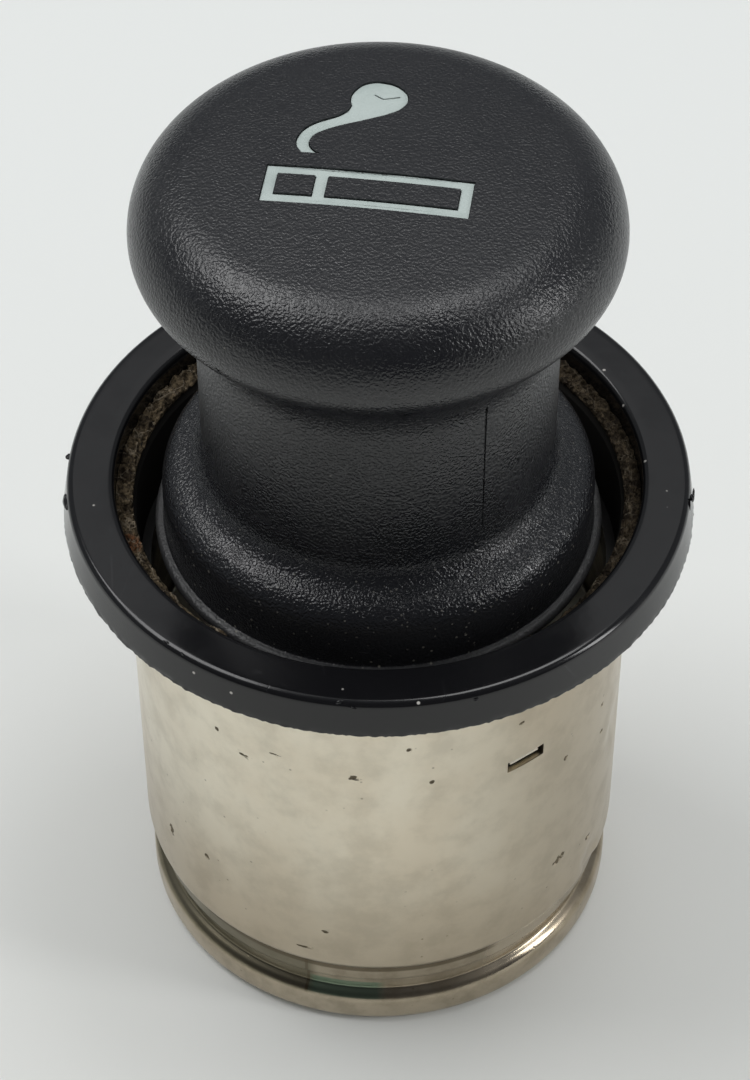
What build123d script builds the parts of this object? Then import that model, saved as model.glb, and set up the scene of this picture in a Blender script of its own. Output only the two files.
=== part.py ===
# Car cigarette lighter plug: a plated sleeve with a black trim ring, and inside it a sprung
# plunger that carries a moulded knob at the top and a glowing coil at the bottom.
# Millimetres, +Z up along the plug's axis, origin at the middle of the rim it stands on.
import os
from math import atan2, degrees, sqrt

from build123d import *

os.makedirs("parts", exist_ok=True)

# Sleeve: drawn sheet with a rolled bead and a two-step groove at its open end
sleeve_radius = 10.35
sleeve_wall = 0.5
sleeve_height = 22.75
bead_radius = 10.2
bead_height = 1.65
bead_lip = 0.65
bead_round = 0.6
groove_radius = 9.74
groove_height = 0.75
land_radius = 9.97
land_height = 0.85
groove_slope = 0.28
shoulder_height = 0.55
groove_round = 0.16
shoulder_round = 0.6
flare_out = 0.25
flare_height = 0.35
flare_round = 0.3

# Trim ring: moulded, pushed up against the sleeve's flared rim
ring_height = 1.65
ring_overhang = 2.44
ring_draft = 0.26
ring_edge_round = 0.32
ring_bore_round = 0.3
ring_fit = 0.04

# Heat shield and spring cup: two drawn shells stacked inside the sleeve
shell_fit = 0.05
shell_wall = 0.4
shell_round = 0.6
shield_seat = 0.2
shield_height = 9.0
shield_flange = 1.6
cup_height = 5.9
barb_rise = 1.78
barb_height = 0.5
barb_width = 1.4
barb_push = 0.3
barb_kerf = 0.15
barb_count = 2
barb_angle = -55.0
window_side = 0.2
window_top = 0.12
cut_margin = 0.4

# Plunger travel
press_travel = 7.0
press_clearance = 0.45
stop_gap = 0.05
guide_fit = 0.08

# Knob: mushroom head, waisted neck and a flared skirt with a plain lip that runs in the spring cup
knob_lip_gap = 0.3
knob_lip_step = 0.37
knob_waist_in = 1.68
knob_head_out = 2.32
knob_dome_radius = 90.0
knob_upper_round = 2.71
knob_lower_round = 1.66
knob_neck_round = 1.63
knob_flare_round = 1.2
knob_shoulder_round = 1.2
knob_lip_height = 0.96
knob_lip_round = 0.24
knob_step_round = 0.1
knob_skirt_height = 1.97
knob_waist_height = 12.67
knob_wall = 1.29
knob_top_wall = 3.4
knob_boss_drop = 7.5

# Insert, stud and the heater stack clamped on the stud
insert_radius = 2.4
insert_length = 7.0
insert_cover = 0.5
thread_fit = 0.02
stud_radius = 1.5
collar_radius = 2.4
collar_height = 0.6
stop_washer_radius = 4.5
stop_washer_height = 0.6
insulator_inset = 1.2
insulator_height = 0.8
heater_gap = 1.4
heater_wall = 0.35
heater_round = 0.7
heater_lip = 0.4
heater_lip_height = 0.6
heater_lip_round = 0.18
mica_height = 0.3
bush_radius = 2.5
bush_flange_radius = 3.5
bush_flange_height = 0.5
stack_fit = 0.05
rivet_head_radius = 2.3
rivet_head_height = 1.0
rivet_post_radius = 1.15
rivet_cover = 0.25

# Heating coil: a flat ribbon wound edge-on, from the rivet's post out to the heater cup
ribbon_thickness = 0.25
ribbon_width = 1.6
ribbon_pitch = 0.8
ribbon_gap = 0.1
ribbon_recess = 0.3

# Return spring between the spring cup's floor and the washer under the knob
spring_wire = 0.9
spring_wire_sides = 8
spring_half_turns = 11
spring_side_gap = 0.62
spring_gap = 0.05
spring_washer_height = 0.5
spring_washer_fit = 0.15

# Heights and radii that follow from the sizes above
sleeve_bore = sleeve_radius - sleeve_wall
groove_low = bead_height
groove_step = groove_low + groove_slope + groove_height
land_low = groove_step + groove_slope / 2
shoulder_low = land_low + land_height
body_low = shoulder_low + shoulder_height
flare_low = sleeve_height - flare_height
rim_radius = sleeve_radius + flare_out
ring_low = flare_low
ring_top = ring_low + ring_height
ring_bore = rim_radius + ring_fit
ring_radius = sleeve_radius + ring_overhang

shell_radius = sleeve_bore - shell_fit
shell_bore = shell_radius - shell_wall
shield_low = body_low + shield_seat
cup_low = shield_low + shield_height
cup_floor = cup_low + shell_wall
barb_low = cup_floor + barb_rise
barb_high = barb_low + barb_height
window_low = barb_low
window_high = barb_high + window_top

knob_lip_radius = shell_bore - knob_lip_gap
knob_skirt_radius = knob_lip_radius - knob_lip_step
knob_neck_radius = knob_skirt_radius - knob_waist_in
knob_head_radius = knob_neck_radius + knob_head_out
knob_low = cup_floor + press_travel + press_clearance
knob_shoulder_z = knob_low + knob_lip_height + knob_skirt_height
knob_head_z = knob_shoulder_z + knob_waist_height
knob_dome_z = knob_head_z - sqrt(
    (knob_dome_radius - knob_upper_round) ** 2 - (knob_head_radius - knob_upper_round) ** 2
)
knob_top = knob_dome_z + knob_dome_radius
knob_bore = knob_neck_radius - knob_wall
knob_bore_top = knob_top - knob_top_wall
knob_skirt_bore = knob_skirt_radius - knob_wall
boss_radius = knob_bore - spring_wire - 2 * spring_side_gap
boss_low = knob_bore_top - knob_boss_drop
insert_top = boss_low + insert_length

stop_top = cup_low - stop_gap
collar_top = stop_top - stop_washer_height
insulator_top = collar_top - collar_height
heater_top = insulator_top - insulator_height
mica_top = heater_top - heater_wall
bush_flange_top = mica_top - mica_height
rivet_top = bush_flange_top - bush_flange_height
rivet_head_low = rivet_top - rivet_head_height
ribbon_top = rivet_head_low - ribbon_gap
ribbon_low = ribbon_top - ribbon_width
heater_low = ribbon_low - ribbon_recess
heater_radius = shell_bore - heater_gap - heater_lip
heater_bore = heater_radius - heater_wall
insulator_radius = heater_radius - insulator_inset
mica_radius = heater_bore - heater_round
stack_bore = stud_radius + stack_fit
bush_bore = bush_radius + stack_fit

spring_washer_top = knob_bore_top - spring_gap
spring_washer_low = spring_washer_top - spring_washer_height
spring_low = cup_floor + spring_gap
spring_high = spring_washer_low - spring_gap
spring_radius = (boss_radius + knob_bore) / 2


def arc_between(center, radius, start, end):
    """Add the arc about center that runs from one compass angle to another, in degrees."""
    CenterArc(center, radius, start, end - start)


# Sleeve
with BuildPart() as sleeve:
    with BuildSketch(Plane.XZ):
        with BuildLine():
            FilletPolyline(
                (bead_radius - bead_lip, 0),
                (bead_radius, 0),
                (bead_radius, groove_low),
                (groove_radius, groove_low + groove_slope),
                (groove_radius, groove_step),
                (land_radius, land_low),
                (land_radius, shoulder_low),
                (sleeve_radius, body_low),
                (sleeve_radius, flare_low),
                (rim_radius, sleeve_height),
                radius=[
                    bead_round,
                    bead_round,
                    groove_round,
                    groove_round,
                    groove_round,
                    groove_round,
                    shoulder_round,
                    flare_round,
                ],
            )
            Polyline(
                (rim_radius, sleeve_height),
                (rim_radius - sleeve_wall, sleeve_height),
                (sleeve_bore, flare_low),
                (sleeve_bore, body_low),
                (groove_radius - sleeve_wall, groove_step),
                (groove_radius - sleeve_wall, groove_low + groove_slope),
                (bead_radius - sleeve_wall, groove_low),
                (bead_radius - sleeve_wall, sleeve_wall),
                (bead_radius - bead_lip, sleeve_wall),
                (bead_radius - bead_lip, 0),
            )
        make_face()
    revolve(axis=Axis.Z)
    with BuildSketch(Plane.XY.offset(window_low)):
        with PolarLocations(sleeve_radius, barb_count, start_angle=barb_angle):
            Rectangle(2 * (sleeve_wall + cut_margin), barb_width + 2 * window_side)
    extrude(amount=window_high - window_low, mode=Mode.SUBTRACT)
sleeve.part.label = "sleeve"
export_step(sleeve.part, "parts/sleeve.step")

# Trim ring
with BuildPart() as trim_ring:
    with BuildSketch(Plane.XZ):
        with BuildLine():
            Polyline(
                (sleeve_radius + ring_fit, ring_low),
                (ring_radius, ring_low),
                (ring_radius - ring_draft, ring_top),
                (ring_bore, ring_top),
                (ring_bore, sleeve_height),
                close=True,
            )
        make_face()
        top_points = vertices().group_by(Axis.Y)[-1].sort_by(Axis.X)
        fillet(top_points[-1], radius=ring_edge_round)
        fillet(top_points[0], radius=ring_bore_round)
    revolve(axis=Axis.Z)
trim_ring.part.label = "trim_ring"
export_step(trim_ring.part, "parts/trim_ring.step")

# Heat shield: a tube that stands on the groove's shoulder, turned in at the top
with BuildPart() as heat_shield:
    with Locations((0, 0, shield_low)):
        Cylinder(shell_radius, shield_height, align=(Align.CENTER, Align.CENTER, Align.MIN))
    fillet(edges().sort_by(Axis.Z)[-1], radius=shell_round)
    offset(amount=-shell_wall, openings=faces().sort_by(Axis.Z)[0])
    with Locations((0, 0, cup_low)):
        Hole(shell_radius - shield_flange)
heat_shield.part.label = "heat_shield"
export_step(heat_shield.part, "parts/heat_shield.step")

# Spring cup: open at the top, with a guide hole in its floor and barbs that spring into the windows
with BuildPart() as spring_cup:
    with Locations((0, 0, cup_low)):
        Cylinder(shell_radius, cup_height, align=(Align.CENTER, Align.CENTER, Align.MIN))
    fillet(edges().sort_by(Axis.Z)[0], radius=shell_round)
    offset(amount=-shell_wall, openings=faces().sort_by(Axis.Z)[-1])
    with Locations((0, 0, cup_floor)):
        Hole(stud_radius + guide_fit)
    with BuildSketch(Plane.XY.offset(barb_low)):
        with PolarLocations(shell_radius, barb_count, start_angle=barb_angle):
            Rectangle(2 * (shell_wall + cut_margin), barb_width + 2 * barb_kerf)
    extrude(amount=barb_height + barb_kerf, mode=Mode.SUBTRACT)
    for barb in range(barb_count):
        barb_plane = Plane.XZ.rotated((0, 0, barb_angle + 360 / barb_count * barb))
        with BuildSketch(barb_plane):
            with BuildLine():
                Polyline(
                    (shell_bore, barb_low),
                    (shell_radius, barb_low),
                    (shell_radius + barb_push, barb_high),
                    (shell_radius + barb_push - shell_wall, barb_high),
                    close=True,
                )
            make_face()
        extrude(amount=barb_width / 2, both=True)
spring_cup.part.label = "spring_cup"
export_step(spring_cup.part, "parts/spring_cup.step")

# Knob: convex head, waist and flared skirt outside, spring bore and boss for the insert inside
dome_edge = degrees(atan2(knob_head_z - knob_dome_z, knob_head_radius - knob_upper_round))
neck_dx = knob_neck_radius + knob_neck_round - (knob_head_radius - knob_lower_round)
neck_dz = sqrt((knob_lower_round + knob_neck_round) ** 2 - neck_dx**2)
neck_turn = degrees(atan2(-neck_dz, neck_dx))
neck_top = knob_head_z - neck_dz
flare_dx = knob_neck_radius + knob_flare_round - (knob_skirt_radius - knob_shoulder_round)
flare_dz = sqrt((knob_flare_round + knob_shoulder_round) ** 2 - flare_dx**2)
flare_turn = degrees(atan2(flare_dz, flare_dx))
neck_low = knob_shoulder_z + flare_dz
lip_top = knob_low + knob_lip_height
upper_center = (knob_head_radius - knob_upper_round, knob_head_z)
lower_center = (knob_head_radius - knob_lower_round, knob_head_z)
neck_center = (knob_neck_radius + knob_neck_round, neck_top)
flare_center = (knob_neck_radius + knob_flare_round, neck_low)
shoulder_center = (knob_skirt_radius - knob_shoulder_round, knob_shoulder_z)
with BuildPart() as knob:
    with BuildSketch(Plane.XZ):
        with BuildLine():
            arc_between((0, knob_dome_z), knob_dome_radius, 90, dome_edge)
            arc_between(upper_center, knob_upper_round, dome_edge, 0)
            arc_between(lower_center, knob_lower_round, 0, neck_turn)
            arc_between(neck_center, knob_neck_round, neck_turn + 180, 180)
            Line((knob_neck_radius, neck_top), (knob_neck_radius, neck_low))
            arc_between(flare_center, knob_flare_round, 180, 180 + flare_turn)
            arc_between(shoulder_center, knob_shoulder_round, flare_turn, 0)
            FilletPolyline(
                (knob_skirt_radius, knob_shoulder_z),
                (knob_skirt_radius, lip_top),
                (knob_lip_radius, lip_top),
                (knob_lip_radius, knob_low),
                (knob_skirt_bore, knob_low),
                radius=[knob_step_round, knob_lip_round, knob_lip_round],
            )
            Polyline(
                (knob_skirt_bore, knob_low),
                (knob_skirt_bore, knob_shoulder_z),
                (knob_bore, neck_low),
                (knob_bore, knob_bore_top),
                (boss_radius, knob_bore_top),
                (boss_radius, boss_low),
                (insert_radius + thread_fit, boss_low),
                (insert_radius + thread_fit, insert_top),
                (0, insert_top),
                (0, knob_top),
            )
        make_face()
    revolve(axis=Axis.Z)
knob.part.label = "knob"
export_step(knob.part, "parts/knob.step")

# Threaded insert in the knob's boss
with BuildPart() as knob_insert:
    with BuildSketch(Plane.XY.offset(boss_low)):
        Circle(insert_radius)
        Circle(stud_radius + thread_fit, mode=Mode.SUBTRACT)
    extrude(amount=insert_length)
knob_insert.part.label = "knob_insert"
export_step(knob_insert.part, "parts/knob_insert.step")

# Stud: runs from the insert down through the spring cup's floor, with a collar that carries the stack
stud_low = rivet_head_low + rivet_cover
stud_top = insert_top - insert_cover
with BuildPart() as stud:
    with BuildSketch(Plane.XY.offset(stud_low)):
        Circle(stud_radius)
    extrude(amount=stud_top - stud_low)
    with BuildSketch(Plane.XY.offset(insulator_top)):
        Circle(collar_radius)
    extrude(amount=collar_height)
stud.part.label = "stud"
export_step(stud.part, "parts/stud.step")

# Stop washer: lies on the collar and meets the spring cup's floor at rest
with BuildPart() as stop_washer:
    with BuildSketch(Plane.XY.offset(collar_top)):
        Circle(stop_washer_radius)
        Circle(stack_bore, mode=Mode.SUBTRACT)
    extrude(amount=stop_washer_height)
stop_washer.part.label = "stop_washer"
export_step(stop_washer.part, "parts/stop_washer.step")

# Ceramic insulator between the collar and the heater cup
with BuildPart() as insulator:
    with BuildSketch(Plane.XY.offset(heater_top)):
        Circle(insulator_radius)
        Circle(stack_bore, mode=Mode.SUBTRACT)
    extrude(amount=insulator_height)
insulator.part.label = "insulator"
export_step(insulator.part, "parts/insulator.step")

# Heater cup: open downwards, with a rolled lip at its mouth
with BuildPart() as heater_cup:
    with Locations((0, 0, heater_low)):
        Cylinder(heater_radius, heater_top - heater_low, align=(Align.CENTER, Align.CENTER, Align.MIN))
    fillet(edges().sort_by(Axis.Z)[-1], radius=heater_round)
    offset(amount=-heater_wall, openings=faces().sort_by(Axis.Z)[0])
    with BuildSketch(Plane.XY.offset(heater_low)):
        Circle(heater_radius + heater_lip)
        Circle(heater_bore, mode=Mode.SUBTRACT)
    extrude(amount=heater_lip_height)
    lip_edges = edges().filter_by(GeomType.CIRCLE).group_by(SortBy.RADIUS)[-1]
    fillet(lip_edges.sort_by(Axis.Z)[0], radius=heater_lip_round)
    with Locations((0, 0, heater_top)):
        Hole(bush_bore)
heater_cup.part.label = "heater_cup"
export_step(heater_cup.part, "parts/heater_cup.step")

# Mica disc under the heater cup's floor
with BuildPart() as mica_disc:
    with BuildSketch(Plane.XY.offset(bush_flange_top)):
        Circle(mica_radius)
        Circle(bush_bore, mode=Mode.SUBTRACT)
    extrude(amount=mica_height)
mica_disc.part.label = "mica_disc"
export_step(mica_disc.part, "parts/mica_disc.step")

# Ceramic bush that keeps the stud clear of the heater cup
with BuildPart() as ceramic_bush:
    with BuildSketch(Plane.XY.offset(rivet_top)):
        Circle(bush_flange_radius)
    extrude(amount=bush_flange_height)
    with BuildSketch(Plane.XY.offset(bush_flange_top)):
        Circle(bush_radius)
    extrude(amount=heater_top - bush_flange_top)
    with Locations((0, 0, heater_top)):
        Hole(stack_bore)
ceramic_bush.part.label = "ceramic_bush"
export_step(ceramic_bush.part, "parts/ceramic_bush.step")

# Contact rivet: clamps the stack on the stud's end and holds the coil's inner end
with BuildPart() as contact_rivet:
    with BuildSketch(Plane.XY.offset(rivet_head_low)):
        Circle(rivet_head_radius)
    extrude(amount=rivet_head_height)
    with BuildSketch(Plane.XY.offset(ribbon_low)):
        Circle(rivet_post_radius)
    extrude(amount=rivet_head_low - ribbon_low)
    with BuildSketch(Plane.XY.offset(stud_low)):
        Circle(stud_radius + thread_fit)
    extrude(amount=rivet_top - stud_low, mode=Mode.SUBTRACT)
contact_rivet.part.label = "contact_rivet"
export_step(contact_rivet.part, "parts/contact_rivet.step")

# Heating coil: half turns about two centres half a pitch apart, each half a pitch larger than the last
coil_start = rivet_post_radius + ribbon_gap + ribbon_thickness / 2
coil_reach = heater_bore - ribbon_gap - ribbon_thickness / 2 - ribbon_pitch / 2
half_turns = int((coil_reach - coil_start) / (ribbon_pitch / 2)) + 1
with BuildPart() as heating_coil:
    with BuildSketch(Plane.XY.offset(ribbon_low)):
        with BuildLine():
            for side in (-ribbon_thickness / 2, ribbon_thickness / 2):
                for half in range(half_turns):
                    odd = half % 2
                    turn_radius = coil_start + half * ribbon_pitch / 2 + side
                    CenterArc((odd * ribbon_pitch / 2, 0), turn_radius, 180 * odd, 180)
            end_center = (half_turns - 1) % 2 * ribbon_pitch / 2
            end_radius = coil_start + (half_turns - 1) * ribbon_pitch / 2
            end_x = end_center + (end_radius if half_turns % 2 == 0 else -end_radius)
            Line((coil_start - ribbon_thickness / 2, 0), (coil_start + ribbon_thickness / 2, 0))
            Line((end_x - ribbon_thickness / 2, 0), (end_x + ribbon_thickness / 2, 0))
        make_face()
    extrude(amount=ribbon_width)
heating_coil.part.label = "heating_coil"
export_step(heating_coil.part, "parts/heating_coil.step")

# Washer that takes the spring's thrust under the knob
with BuildPart() as spring_washer:
    with BuildSketch(Plane.XY.offset(spring_washer_low)):
        Circle(knob_bore - spring_washer_fit)
        Circle(boss_radius + spring_washer_fit, mode=Mode.SUBTRACT)
    extrude(amount=spring_washer_height)
spring_washer.part.label = "spring_washer"
export_step(spring_washer.part, "parts/spring_washer.step")

# Return spring: half turns of wire, the first and the last flat and the others tilted to climb
spring_start = spring_low + spring_wire / 2
spring_end = spring_high - spring_wire / 2
spring_climb = (spring_end - spring_start) / (spring_half_turns - 2)
with BuildPart() as return_spring:
    wire_z = spring_start
    for half in range(spring_half_turns):
        side = 1 - 2 * (half % 2)
        climb = 0 if half in (0, spring_half_turns - 1) else spring_climb
        with BuildSketch(Plane(origin=(side * spring_radius, 0, wire_z), z_dir=(0, side, 0))):
            RegularPolygon(spring_wire / 2, spring_wire_sides)
        turn_axis = Axis((0, 0, wire_z + climb / 2), (side * climb, 0, 2 * spring_radius))
        revolve(axis=turn_axis, revolution_arc=180)
        wire_z += climb
return_spring.part.label = "return_spring"
export_step(return_spring.part, "parts/return_spring.step")
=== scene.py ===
"""Dresses the solids of a used pop-out lighter plug for a car.

The sleeve, the trim ring and the knob are turned again here with their edge wear, pits, moulding marks
and the sign in the knob's head. The return spring is wound again. The other inner pieces keep their
solids and get finishes of their own.
"""
import logging
from abc import ABC, abstractmethod
from collections.abc import Callable, Iterator
from contextlib import contextmanager
from dataclasses import dataclass, field
from enum import Enum
from math import atan2, cos, degrees, pi, radians, sin, sqrt

import bpy
from mathutils import Matrix, Vector


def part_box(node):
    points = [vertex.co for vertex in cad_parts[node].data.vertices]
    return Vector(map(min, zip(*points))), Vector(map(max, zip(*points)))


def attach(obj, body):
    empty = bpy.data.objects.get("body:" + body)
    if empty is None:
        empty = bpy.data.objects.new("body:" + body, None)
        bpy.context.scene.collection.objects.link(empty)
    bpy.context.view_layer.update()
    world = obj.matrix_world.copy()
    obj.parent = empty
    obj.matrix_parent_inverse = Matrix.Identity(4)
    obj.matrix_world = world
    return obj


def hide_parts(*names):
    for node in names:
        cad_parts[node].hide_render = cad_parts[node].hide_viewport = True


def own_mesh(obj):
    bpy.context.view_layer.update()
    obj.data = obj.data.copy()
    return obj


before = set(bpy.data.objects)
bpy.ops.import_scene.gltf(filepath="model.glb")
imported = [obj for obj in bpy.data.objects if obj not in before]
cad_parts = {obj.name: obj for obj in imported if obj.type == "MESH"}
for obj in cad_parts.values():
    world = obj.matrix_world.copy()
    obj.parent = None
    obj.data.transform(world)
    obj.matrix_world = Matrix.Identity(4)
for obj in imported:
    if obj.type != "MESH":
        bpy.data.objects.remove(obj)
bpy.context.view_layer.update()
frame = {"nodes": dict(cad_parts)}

# Metres in a millimetre, radians in a turn, metres within which points are merged, and a height in
# millimetres that is past every piece.
MM = 0.001
TURN = 2 * pi
WELD = 1e-7
FAR = 1000.0
LOG = logging.getLogger("lighter_plug")

Colour = tuple[float, float, float]
Triple = tuple[float, float, float]
Flat = tuple[float, float]
Piece = bpy.types.Object
Socket = bpy.types.NodeSocket


class Body(str, Enum):
    """The bodies that carry the pieces made here."""

    SLEEVE = "sleeve_body"
    PLUNGER = "plunger"


class Ray(str, Enum):
    """Kinds of ray that see the pale backdrop in place of the plain room light."""

    CAMERA = "Is Camera Ray"
    GLOSSY = "Is Glossy Ray"
    TRANSMISSION = "Is Transmission Ray"


# Workbench


def clear_selection() -> None:
    """Leave edit mode and deselect everything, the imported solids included."""
    active = bpy.context.view_layer.objects.active
    if active is not None and active.mode != "OBJECT":
        bpy.ops.object.mode_set(mode="OBJECT")
    bpy.ops.object.select_all(action="DESELECT")


def pick(piece: Piece) -> None:
    """Make a piece the active one and the only selected one.

    Args:
        piece: The piece to work on next.
    """
    clear_selection()
    piece.select_set(True)
    bpy.context.view_layer.objects.active = piece


@contextmanager
def edit_mode() -> Iterator[None]:
    """Work on the active piece in edit mode for the length of a block."""
    bpy.ops.object.mode_set(mode="EDIT")
    yield
    bpy.ops.object.mode_set(mode="OBJECT")


def name_piece(piece: Piece, name: str) -> Piece:
    """Give a piece and its mesh the same name.

    Args:
        piece: The piece.
        name: The name of both.

    Returns:
        The same piece.
    """
    piece.name = name
    piece.data.name = name
    return piece


def apply_modifier(piece: Piece, kind: str, **settings: object) -> None:
    """Add a modifier and apply it.

    Args:
        piece: The piece that it changes.
        kind: The modifier's type.
        settings: Its properties.
    """
    pick(piece)
    modifier = piece.modifiers.new(kind.lower(), kind)
    for key, value in settings.items():
        setattr(modifier, key, value)
    bpy.ops.object.modifier_apply(modifier=modifier.name)


def settle(piece: Piece) -> None:
    """Put a piece's place, turn and scale into its mesh."""
    pick(piece)
    bpy.ops.object.transform_apply(location=True, rotation=True, scale=True)


def put(piece: Piece, place: Vector, turn: Matrix) -> Piece:
    """Turn a piece about the origin, move it and settle it there.

    Args:
        piece: The piece, modelled about the origin.
        place: Where its middle goes, in metres.
        turn: How it is turned and scaled before that.

    Returns:
        The same piece.
    """
    piece.matrix_world = Matrix.Translation(place) @ turn
    settle(piece)
    return piece


def smooth(piece: Piece, angle: float = 32.0) -> None:
    """Shade a piece smooth, with edges kept sharp past an angle in degrees."""
    pick(piece)
    bpy.ops.object.shade_smooth_by_angle(angle=radians(angle))


def join(pieces: list[Piece], name: str) -> Piece:
    """Join pieces into one.

    Args:
        pieces: The pieces, which become one mesh.
        name: The name of the result.

    Returns:
        The joined piece.
    """
    clear_selection()
    for piece in pieces:
        piece.select_set(True)
    bpy.context.view_layer.objects.active = pieces[0]
    if len(pieces) > 1:
        bpy.ops.object.join()
    return name_piece(pieces[0], name)


def cut(piece: Piece, cutter: Piece) -> None:
    """Take a cutter's volume out of a piece and throw the cutter away."""
    apply_modifier(piece, "BOOLEAN", operation="DIFFERENCE", object=cutter, solver="EXACT")
    bpy.data.objects.remove(cutter)


@contextmanager
def chosen_points(piece: Piece, test: Callable[[Vector], bool]) -> Iterator[None]:
    """Work on a piece in edit mode with only the points selected that pass a test.

    Args:
        piece: The piece to open.
        test: Says for a point's place in millimetres whether it is wanted.
    """
    pick(piece)
    with edit_mode():
        bpy.ops.mesh.select_mode(type="VERT")
        bpy.ops.mesh.select_all(action="DESELECT")
    for point in piece.data.vertices:
        point.select = test(point.co / MM)
    with edit_mode():
        yield


def add_block(length: float, width: float, depth: float, bevel: float = 0.0) -> Piece:
    """Model a block about the origin, in millimetres.

    Args:
        length: Its size along x.
        width: Its size along y.
        depth: Its size along z.
        bevel: Width of its bevelled edges, if any.

    Returns:
        The block, still to be put in its place.
    """
    clear_selection()
    bpy.ops.mesh.primitive_cube_add(size=MM)
    with edit_mode():
        bpy.ops.transform.resize(value=(length, width, depth))
        if bevel:
            bpy.ops.mesh.bevel(offset=bevel * MM, segments=2, affect="EDGES")
    return bpy.context.object


def roughen(piece: Piece, name: str, size: float, depth: int, **settings: object) -> None:
    """Push the points of a piece about by a cloud pattern.

    Args:
        piece: The piece.
        name: The pattern's name.
        size: Size of its clouds, in metres.
        depth: How often it is refined.
        settings: What the push itself takes, such as its group of points, direction and strength.
    """
    clouds = bpy.data.textures.new(name, "CLOUDS")
    clouds.noise_scale = size
    clouds.noise_depth = depth
    apply_modifier(piece, "DISPLACE", texture=clouds, texture_coords="LOCAL", **settings)


def on_turned(azimuth: float, radius: float, height: float) -> Vector:
    """Place on a turned piece.

    Args:
        azimuth: Degrees from the front towards the right.
        radius: Millimetres from the axis.
        height: Millimetres above the floor.

    Returns:
        The place in metres.
    """
    angle = radians(azimuth)
    return Vector((radius * sin(angle), -radius * cos(angle), height)) * MM


def facing(azimuth: float, tilt: float = 0.0, spin: float = 0.0) -> Matrix:
    """Turn for a mark on a turned piece: x runs along the rim, y up the wall and z out of it.

    Args:
        azimuth: Degrees from the front towards the right.
        tilt: Degrees by which the wall there looks up.
        spin: Degrees by which the mark is turned on the wall.

    Returns:
        A matrix with no shift.
    """
    upright = Matrix.Rotation(radians(90 - tilt), 4, "X")
    return Matrix.Rotation(radians(azimuth), 4, "Z") @ upright @ Matrix.Rotation(radians(spin), 4, "Z")


@dataclass(frozen=True)
class Mark:
    """A pit, nick, chip or burr on a turned piece, in millimetres and degrees."""

    azimuth: float
    radius: float
    height: float
    length: float
    width: float
    depth: float
    spin: float = 0.0
    tilt: float = 0.0

    @property
    def place(self) -> Vector:
        """The mark's middle, in metres."""
        return on_turned(self.azimuth, self.radius, self.height)

    def pebble(self, seed: int, raggedness: float = 0.22) -> Piece:
        """Model the mark as a ragged flattened ball.

        Args:
            seed: Picks the ragged outline.
            raggedness: Share of the ball's radius by which its points stray.

        Returns:
            The ball, with its place in its mesh.
        """
        clear_selection()
        bpy.ops.mesh.primitive_ico_sphere_add(subdivisions=3, radius=1.0)
        with edit_mode():
            bpy.ops.mesh.select_all(action="SELECT")
            bpy.ops.transform.vertex_random(offset=raggedness, uniform=0.4, normal=0.6, seed=seed)
            bpy.ops.mesh.vertices_smooth(factor=0.5, repeat=2)
        size = Matrix.Diagonal((self.length / 2, self.width / 2, self.depth, 1 / MM)) * MM
        return put(bpy.context.object, self.place, facing(self.azimuth, self.tilt, self.spin) @ size)


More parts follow.
